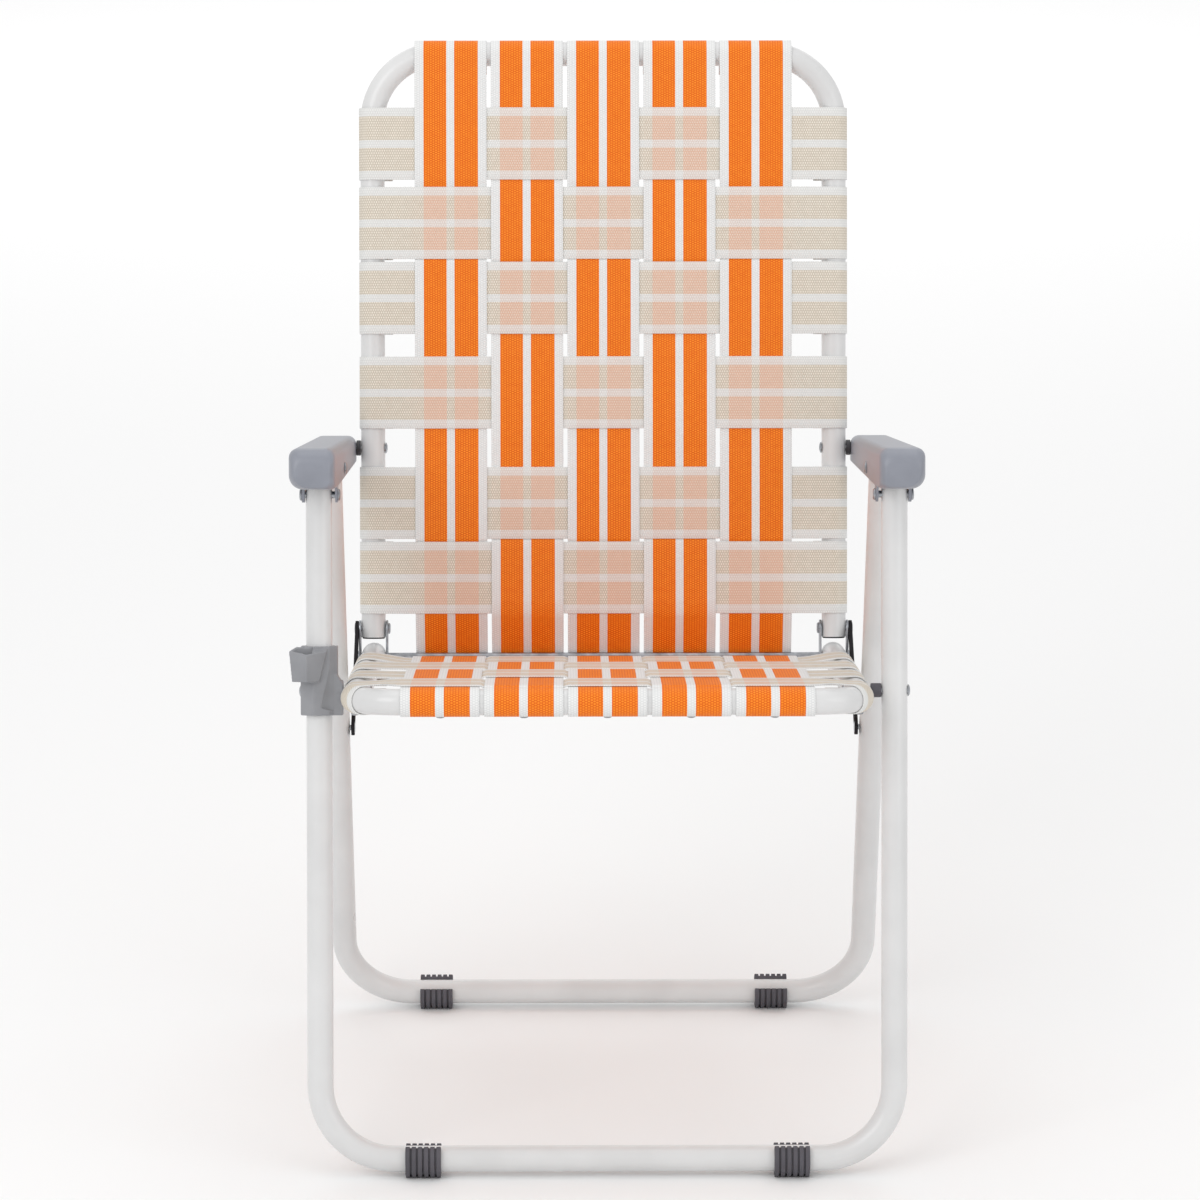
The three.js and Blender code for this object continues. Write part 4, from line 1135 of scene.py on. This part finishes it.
for word, side in SIDES:
    for pin, place in (("arm_front_pin", ARM_PIN), ("arm_rear_pin", REAR_PIN)):
        pin_between(f"{pin}_rivet_{word}", side, place, ARM_INNER - CLEARANCE, EAR_OUTER + CLEARANCE,
                    PIN_RADIUS, (rivet_head, rivet_head), "armrests", f"{pin}_{word}")
    pin_between(f"back_bolt_{word}", side, BACK_PIN, TUBE_NEAR, ARM_INNER + ARM_WALL + CLEARANCE,
                PIN_RADIUS, (bolt_head, nut_head), "armrests", f"arm_back_bolt_{word}")
    seat_bolt, strut_rivet = f"seat_bolt_{word}", f"strut_rivet_{word}"
    pin_between(f"seat_pivot_bolt_{word}", side, SEAT_PIN, TUBE_NEAR, outer_end(seat_bolt, side),
                PIN_RADIUS, (bolt_head, bolt_head), "front_legs", seat_bolt)
    pin_between(f"back_hinge_rivet_{word}", side, HINGE, TUBE_NEAR - PLATE_THICKNESS - CLEARANCE,
                STRUT_OUTER + CLEARANCE, RIVET_RADIUS, (rivet_head, flat_head), "backrest",
                f"hinge_rivet_{word}")
    pin_between(f"strut_foot_rivet_{word}", side, STRUT_PIN, STRUT_OUTER + CLEARANCE,
                outer_end(strut_rivet, side), RIVET_RADIUS, (flush_end, rivet_head), "rear_legs", strut_rivet)
print("pins made, the strut's one", round(STRUT_DOWN / MM), "mm down the rear leg")

# %% [markdown]
# ### The rod
# One steel rod runs across the chair and through both hinges. Its ends are headed over
# outside the plates, so it is drawn like the pins, as one profile from end to end.

# %% Hinge rod
ROD_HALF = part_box("hinge_rod")[1].x - HEAD_ROOM
# (height, radius) in millimetres, from the middle of a headed end to the plate.
ROD_HEAD = [(1.9, 0.4), (1.8, 1.8), (1.2, 3.3), (0.4, 4.7), (0, 4.8)]


def rod_head(face, direction):
    dome = [(height, radius * MM) for height, radius in ROD_HEAD]
    return head_profile(face, direction, MM, dome + [(0, ROD_RADIUS)])


turned_piece("hinge_rod_bar", rod_head(-ROD_HALF, -1) + rod_head(ROD_HALF, 1)[::-1], ROD, "seat",
             ("hinge_rod",), "zinc")
print("the rod is", round(2 * ROD_HALF / MM), "mm long between its heads")

# %% [markdown]
# ## Hinge plates and struts
# The plates are punched from steel strip and tumbled, so their edges are softly broken. The
# struts hold the rear legs open. They are dark coated straps with a flat zinc head at the
# lower end. An outline with a thickness is all that punching leaves, so each piece is drawn
# as one and gets a narrow bevel, which catches a thin line of light.
# The near-black of the struts is partly their coating and partly painted shade.

# %% Plates and struts
LINK_STEPS = 14
PLATE_RADIUS = 7.5 * MM
STRUT_RADIUS = 7 * MM
STRUT_RUN = STRUT_PIN - HINGE
STRUT_HEAD_HEIGHT = 0.7 * MM
STRUT_HEAD_SHANK = 4 * MM
# The head sinks this far into the strap, so that no gap shows.
STRUT_HEAD_SINK = 0.1 * MM


def stadium(length, radius):
    """Outline of a strap with round ends, from one pin's place to another's."""
    return arc_points(radius, 0, 180, LINK_STEPS, length) + arc_points(radius, 180, 360, LINK_STEPS)


def link(name, start, end, length, radius, origin, up, material, body, node_name, slot):
    made = plate_along_x(name, stadium(length, radius), start, end, origin, up)
    round_edges(made)
    return finish_piece(made, material, body, (node_name,), slot)


for word, side in SIDES:
    for where in ("outer", "inner"):
        drawn = f"hinge_plate_{word}_{where}"
        low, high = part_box(drawn)
        link(f"back_{drawn}", low.x, high.x, (HINGE - ROD).length, PLATE_RADIUS, ROD, SEAT_UP,
             zinc, "seat", drawn, "zinc")
    link(f"lock_strut_{word}", side * STRUT_INNER, side * STRUT_OUTER, STRUT_RUN.length, STRUT_RADIUS,
         HINGE, STRUT_RUN.normalized(), strut_coat_and_shade, "struts", f"strut_{word}", "dark_plastic")
    head = dome_head(side * (STRUT_INNER + STRUT_HEAD_SINK), -side, STRUT_HEAD_SHANK, STRUT_HEAD_HEIGHT)
    turned_piece(f"strut_head_{word}", head, STRUT_PIN, "struts")
print("struts are", round(STRUT_RUN.length / MM), "mm long between their pins")

# %% [markdown]
# ### Bushes and rail plugs
# Black nylon bushes keep the backrest tubes away from the armrests and the seat rail away
# from the leg. The open rear ends of the seat rails are closed with domed grey plugs, and the
# lower ends of the backrest with thin caps. All are round, so they are spun like the pins. A
# bush is a closed loop, because its bore is a face of its own.

# %% Bushes and plugs
def bush(name, node_name, place, radius, material, body):
    low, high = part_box(node_name)
    bore = PIN_RADIUS + CLEARANCE
    profile = [(low.x, bore), (low.x, radius - EDGE_BREAK), (low.x + EDGE_BREAK, radius),
               (high.x - EDGE_BREAK, radius), (high.x, radius - EDGE_BREAK), (high.x, bore)]
    verts, faces = spun(profile, at(0, place), ACROSS, REAR, UP, looped=True)
    return piece(name, verts, faces, material, body, (node_name,), "dark_plastic")


def end_plug(name, profile, x, end, way, up, material, body, replaced, slot):
    """A plug in an open tube: its profile starts at end and runs the way that the tube points."""
    verts, faces = spun(profile, at(x, end), at(0, way), ACROSS, at(0, up))
    return piece(name, verts, faces, material, body, replaced, slot)


ARM_BUSH_RADIUS = 7 * MM
LEG_BUSH_RADIUS = 6 * MM
# (distance out of the tube's end, radius), from inside the tube to the outer end.
RAIL_PLUG = [(-8 * MM, 0.5 * MM), (-8 * MM, 8.6 * MM), (CLEARANCE, 8.7 * MM), (CLEARANCE, TUBE_RADIUS),
             (1 * MM, TUBE_RADIUS), (2.6 * MM, TUBE_RADIUS * 0.93), (4.2 * MM, TUBE_RADIUS * 0.76),
             (5.1 * MM, TUBE_RADIUS * 0.5), (5.5 * MM, TUBE_RADIUS * 0.2), (5.55 * MM, TUBE_RADIUS * 0.02)]
BACK_CAP = [(-2 * MM, 0.5 * MM), (-2 * MM, 9.3 * MM), (0.2 * MM, 9.3 * MM), (0.2 * MM, 10.2 * MM),
            (0.9 * MM, 10.2 * MM), (1.3 * MM, 9.6 * MM), (1.4 * MM, 0.5 * MM)]

for word, side in SIDES:
    bush(f"backrest_bush_{word}", f"arm_bush_{word}", BACK_PIN, ARM_BUSH_RADIUS, bush_plastic, "armrests")
    x = side * SEAT_HALF_WIDTH
    end_plug(f"rail_end_plug_{word}", RAIL_PLUG, x, SEAT_END, rearward(SEAT_UP), SEAT_UP, bracket_plastic,
             "seat", (f"rail_plug_{word}",), "grey_plastic")
    end_plug(f"backrest_end_cap_{word}", BACK_CAP, x, BACK_END, -LEG_UP, rearward(LEG_UP), bush_plastic,
             "backrest", (), "dark_plastic")
bush("seat_pivot_bush", "seat_bush_right", SEAT_PIN, LEG_BUSH_RADIUS, foot_plastic, "front_legs")
print("plugs stand", round(RAIL_PLUG[-1][0] / MM, 1), "mm out of the rails")

# %% [markdown]
# ## Feet
# Each foot is a moulded clip that was pushed on the rail from below, in line with the lean of
# the legs, so its opening points up along them. Six broad ribs with narrow grooves between them
# give grip. Ribs that were joined to a plain clip as separate rings would leave seams, so the
# clip is one row of sections that swells at each rib and is cut flat where it stands on the
# floor.

# %% Ribbed feet
FOOT_WIDTH = 30 * MM
FOOT_RIBS = 6
FOOT_STEPS = 40
RIB_WIDTH = 4.1 * MM
RIB_FLANK = 0.35 * MM
RIB_HEIGHT = 1.9 * MM
FOOT_BASE = 13.9 * MM
FOOT_OPENING = 43


def foot_section(outer, up):
    """A C-shaped section as (y, z) round the rail, open towards the direction up."""
    start = math.degrees(math.atan2(up.y, up.x)) + FOOT_OPENING
    end = start + 360 - 2 * FOOT_OPENING
    shape = arc_points(outer, start, end, FOOT_STEPS)
    bore = arc_points(TUBE_RADIUS + CLEARANCE, end, start, FOOT_STEPS)
    return [(y, max(z, -RAIL_HEIGHT)) for y, z in shape + bore]


def foot_radii():
    """(x, outer radius) pairs along the foot: flat tops with sloped flanks for each rib."""
    pitch = (FOOT_WIDTH - RIB_WIDTH) / (FOOT_RIBS - 1)
    top = FOOT_BASE + RIB_HEIGHT
    pairs = []
    for rib in range(FOOT_RIBS):
        start = -FOOT_WIDTH / 2 + rib * pitch
        end = start + RIB_WIDTH
        pairs += [(start, FOOT_BASE), (start + RIB_FLANK, top), (end - RIB_FLANK, top), (end, FOOT_BASE)]
    return pairs


def foot(name, place, up, body, node_name):
    x = middle_of(node_name).x
    pairs = foot_radii()
    verts = []
    for offset, outer in pairs:
        section = foot_section(outer, up)
        verts += [at(x + offset, place + Vector(point)) for point in section]
    return piece(name, verts, ring_faces(len(pairs), len(section)), foot_plastic, body, (node_name,),
                 "dark_plastic")


for word, side in SIDES:
    foot(f"front_rib_foot_{word}", FRONT_FOOT, LEG_UP, "front_legs", f"front_foot_{word}")
    foot(f"rear_rib_foot_{word}", REAR_FOOT, REAR_UP, "rear_legs", f"rear_foot_{word}")
print("feet made with", FOOT_RIBS, "ribs each")

# %% [markdown]
# ## The bracket
# One grey moulding holds the left front leg, spaces it from the seat rail and carries a
# socket for a cup holder. A maker draws it as plain blocks and rounds every corner, but
# bevels fail where so many slopes meet. So plain prisms are joined and hollowed, and then
# melted together on a fine grid: that leaves the small fillets that every mould has.

# %% Solids placed from the leg
LEG_X = -FRONT_HALF_WIDTH
BAR_SIDES = 40


def on_leg(x, y, z):
    """A place given in millimetres from the leg's middle at the seat's pin."""
    return at(LEG_X + x * MM, in_frame(SEAT_PIN, LEG_UP, y * MM, z * MM))


def prism(name, low, high):
    """A closed solid between two outlines of (x, y, z). The outlines may be warped, so every
    face is cut into triangles, which are always flat."""
    made = plain_object(name, [on_leg(*point) for point in low + high], ring_faces(2, len(low)))
    work = bmesh.new()
    work.from_mesh(made.data)
    bmesh.ops.triangulate(work, faces=work.faces)
    work.to_mesh(made.data)
    work.free()
    return made


def at_height(outline, z):
    """An outline of (x, y) as (x, y, z) points."""
    return [(x, y, z) for x, y in outline]


def upright(name, outline, low, high):
    return prism(name, at_height(outline, low), at_height(outline, high))


def round_bar(name, start, end, radius):
    """A bar between two (x, y, z) places."""
    first, last = on_leg(*start), on_leg(*end)
    heading = (last - first).normalized()
    across = heading.orthogonal().normalized()
    rings = [ring_points(place, across, heading.cross(across), radius * MM, BAR_SIDES)
             for place in (first, last)]
    return plain_object(name, rings[0] + rings[1], ring_faces(2, BAR_SIDES))


print("the bracket's leg is at", round(LEG_X / MM, 1), "mm")

# %% Sizes of the bracket
# In millimetres: x points to the middle of the chair, y to the rear and z up the leg.
BASE, SHOULDER, TOP = -20, 7, 38
RAIL_FACE = 20.1
SLEEVE = [(-15.4, -8), (-15.4, 9), (-9, 14.5), (11, 14.5),
          (15.4, 9), (15.4, -6), (9, -13.4), (-4.5, -16.8)]
WING = [(4, -10), (4, 10), (RAIL_FACE, 9), (RAIL_FACE, -9)]
FLARE_REACH, FLARE_HEIGHT = 15, 14
FLARE_TOP = [(min(x, FLARE_REACH), y, FLARE_HEIGHT) for x, y in WING]
SOCKET_FOOT, POCKET_FLOOR = 8.4, 10.5
SOCKET_LOW = [(-16.5, -12.5), (-22.3, -17.5), (-9.6, -26.2), (0.8, -18.5), (0.8, -12.5)]
SOCKET_TOP = [(-18.5, -12.5, TOP), (-24.8, -18.5, 34.2), (-9.6, -28.3, 30.8), (7, -17, 34), (7, -12.5, TOP)]
POCKET_LOW = [(-15.5, -14.4), (-20, -17.8), (-9.6, -24.3), (-5, -21.5), (-5, -14.4)]
POCKET_TOP = [(-17.5, -14.4), (-22.9, -18.6), (-9.6, -26.9), (-5, -23.4), (-5, -14.4)]
# Round bars: where each one starts and ends, and its radius.
SCOOP = ((12.6, -23.8, -15.5), (25, -21, 42), 14)
BOSS = ((12, 0, 0), (RAIL_FACE, 0, 0), 9.5)
LEG_BORE = ((0, 0, -30), (0, 0, 50), (TUBE_RADIUS + CLEARANCE) / MM)
BOLT_HOLE = ((-30, 0, 0), (30, 0, 0), (PIN_RADIUS + CLEARANCE) / MM)
print("the bracket is", TOP - BASE, "mm tall")

# %% Blocks of the bracket
OVERLAP = 1
ABOVE_TOP = 45


def bracket_body():
    """The sleeve round the leg, with each other block joined to it or cut from it in turn."""
    made = upright("bracket_moulding", SLEEVE, BASE, TOP)
    steps = [(upright("wing", WING, BASE, SHOULDER), "UNION"),
             (prism("flare", at_height(WING, SHOULDER - OVERLAP), FLARE_TOP), "UNION"),
             (prism("socket", at_height(SOCKET_LOW, SOCKET_FOOT), SOCKET_TOP), "UNION"),
             (prism("pocket", at_height(POCKET_LOW, POCKET_FLOOR), at_height(POCKET_TOP, ABOVE_TOP)),
              "DIFFERENCE"),
             (round_bar("scoop", *SCOOP), "DIFFERENCE"),
             (round_bar("boss", *BOSS), "UNION"),
             (round_bar("bore", *LEG_BORE), "DIFFERENCE"),
             (round_bar("bolt_hole", *BOLT_HOLE), "DIFFERENCE")]
    for other, operation in steps:
        combine(made, other, operation)
    return made


bracket = bracket_body()
print("bracket has", len(bracket.data.polygons), "faces before it is melted")

# %% Melting the bracket
GRID = 0.55 * MM

melt = bracket.modifiers.new("melt", "REMESH")
melt.mode = "VOXEL"
melt.voxel_size = GRID
soften = bracket.modifiers.new("soften", "SMOOTH")
soften.iterations = 4
soften.factor = 0.6
apply_modifiers(bracket)
finish_piece(bracket, bracket_plastic, "front_legs", ("cup_bracket_left",), "grey_plastic")
print("bracket has", len(bracket.data.polygons), "faces")

# %% [markdown]
# ## Tail screws
# The end of every strap is folded behind its tube and held by a pan-head screw. The drive in
# the head is smaller than a pixel of the picture, so a plain spun head is enough.

# %% Screws behind the tubes
SCREW_HEAD = 3.6 * MM
SCREW_PROFILE = [(2.0, 0.05), (1.95, 0.45), (1.6, 0.8), (0.9, 1.0), (0.0, 1.0), (-0.8, 0.98)]


def screw(name, place, direction, body):
    """A pan head on a strap's tail: place is on the strap and direction points away from it."""
    profile = [(height * MM, SCREW_HEAD * share) for height, share in SCREW_PROFILE]
    turn = direction.to_track_quat("Z", "Y").to_matrix()
    verts, faces = spun(profile, place, turn.col[2], turn.col[0], turn.col[1])
    return piece(name, verts, faces, zinc, body, (), "zinc")


BACK_AWAY = rearward(LEG_UP)
SEAT_AWAY = -SEAT_UP
BACK_TAIL = BACK_AWAY * (WEB_LOW + STRAP_THICKNESS / 2)
SEAT_TAIL = SEAT_AWAY * (WEB_LOW + STRAP_THICKNESS / 2)
for word, side in SIDES:
    x = side * SEAT_HALF_WIDTH
    for row, centre in enumerate(BACK_ROWS):
        place = HINGE + LEG_UP * centre + BACK_TAIL
        screw(f"backrest_screw_{word}_{row + 1}", at(x, place), at(0, BACK_AWAY), "backrest")
    for row, centre in enumerate(SEAT_ROWS):
        place = ROD + SEAT_FORWARD * centre + SEAT_TAIL
        screw(f"seat_screw_{word}_{row + 1}", at(x, place), at(0, SEAT_AWAY), "seat")
on_front_tail = SEAT_FRONT - SEAT_FORWARD * STRAP_TAIL / 2 + SEAT_TAIL
for column in range(STRAP_COUNT):
    x = column_centre(column)
    screw(f"top_screw_{column + 1}", at(x, BACK_TOP + BACK_TAIL), at(0, BACK_AWAY), "backrest")
    screw(f"front_screw_{column + 1}", at(x, on_front_tail), at(0, SEAT_AWAY), "seat")
print("screws made:", 2 * (len(BACK_ROWS) + len(SEAT_ROWS) + STRAP_COUNT))

# %% [markdown]
# ## Studio
# The picture is a catalogue shot: a white sweep, a big soft light from above and in front, and
# a lens of about 150 mm from four metres away, a little above the backrest. The bright
# surroundings fill the shadows. A wide light over the floor behind the chair keeps the
# background white, so that the white frame stands out a little darker against it. One strong
# lamp would be simpler, but its hard shadows would hide the weave.

# %% Floor
FLOOR_HALF = 25.0
corners = [(-FLOOR_HALF, -FLOOR_HALF, 0), (FLOOR_HALF, -FLOOR_HALF, 0),
           (FLOOR_HALF, FLOOR_HALF, 0), (-FLOOR_HALF, FLOOR_HALF, 0)]
# Matt paper takes soft shadows and throws no highlight.
paper = new_material("pale_studio_paper", {"Base Color": linear("#F6F6F6"), "Roughness": 0.9})[0]
floor = plain_object("studio_floor", corners, [(0, 1, 2, 3)])
floor.data.materials.append(paper)
floor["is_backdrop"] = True
print("floor of", 2 * FLOOR_HALF, "m")

# %% Lights
def soft_light(name, place, target, size, power):
    data = bpy.data.lights.new(name, "AREA")
    data.shape = "SQUARE"
    data.size = size
    data.energy = power
    light = bpy.data.objects.new(name, data)
    light.location = place
    light.rotation_euler = (Vector(target) - Vector(place)).to_track_quat("-Z", "Y").to_euler()
    bpy.context.scene.collection.objects.link(light)
    print(name, "of", power, "W")


SEAT_MIDDLE = (0, 0, 0.45)
# From the front left and above: it shapes the tubes and brings out the weave.
soft_light("key_light", (-1.8, -2.8, 2.4), SEAT_MIDDLE, 2.0, 30)
# Weaker and from the right, so that the shadows under the armrests stay open.
soft_light("fill_light", (2.4, -2.4, 1.5), SEAT_MIDDLE, 2.0, 12)
# From straight above: a bright line along the armrests and the top tube.
soft_light("top_light", (0, 0.3, 3.2), (0, 0, 0.4), 2.4, 14)
# Over the floor behind the chair: it makes the background white.
soft_light("backdrop_light", (0, 6.5, 3.2), (0, 6.5, 0), 6.0, 70)
world = bpy.data.worlds.new("studio_world")
world.use_nodes = True
world.node_tree.nodes["Background"].inputs["Color"].default_value = linear("#FFFFFF")
world.node_tree.nodes["Background"].inputs["Strength"].default_value = 0.8
bpy.context.scene.world = world
bpy.context.scene.view_settings.view_transform = "Standard"

# %% Camera
# The focal length, the tilt and the place were found by matching the edges of the legs, the
# rails and the feet to the picture.
IMAGE_SIZE = 1200
FOCAL_PIXELS = 5067.9
SENSOR = 36.0
CAMERA_TILT = math.radians(13.548)
CAMERA_YAW = math.radians(0.385)
CAMERA_PLACE = Vector((-0.0336, FRONT_FOOT.x - 4.0370, 1.4712))

camera_data = bpy.data.cameras.new("catalogue_camera")
camera_data.sensor_width = SENSOR
camera_data.sensor_fit = "HORIZONTAL"
camera_data.lens = FOCAL_PIXELS / IMAGE_SIZE * SENSOR
camera = bpy.data.objects.new("catalogue_camera", camera_data)
camera.location = CAMERA_PLACE
camera.rotation_euler = Euler((math.pi / 2 - CAMERA_TILT, 0, -CAMERA_YAW))
bpy.context.scene.collection.objects.link(camera)
bpy.context.scene.camera = camera
print("camera lens", round(camera_data.lens, 1), "mm")

# %% Size of the visual
low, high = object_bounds()
print("visual box", [round(v, 4) for v in low], [round(v, 4) for v in high])
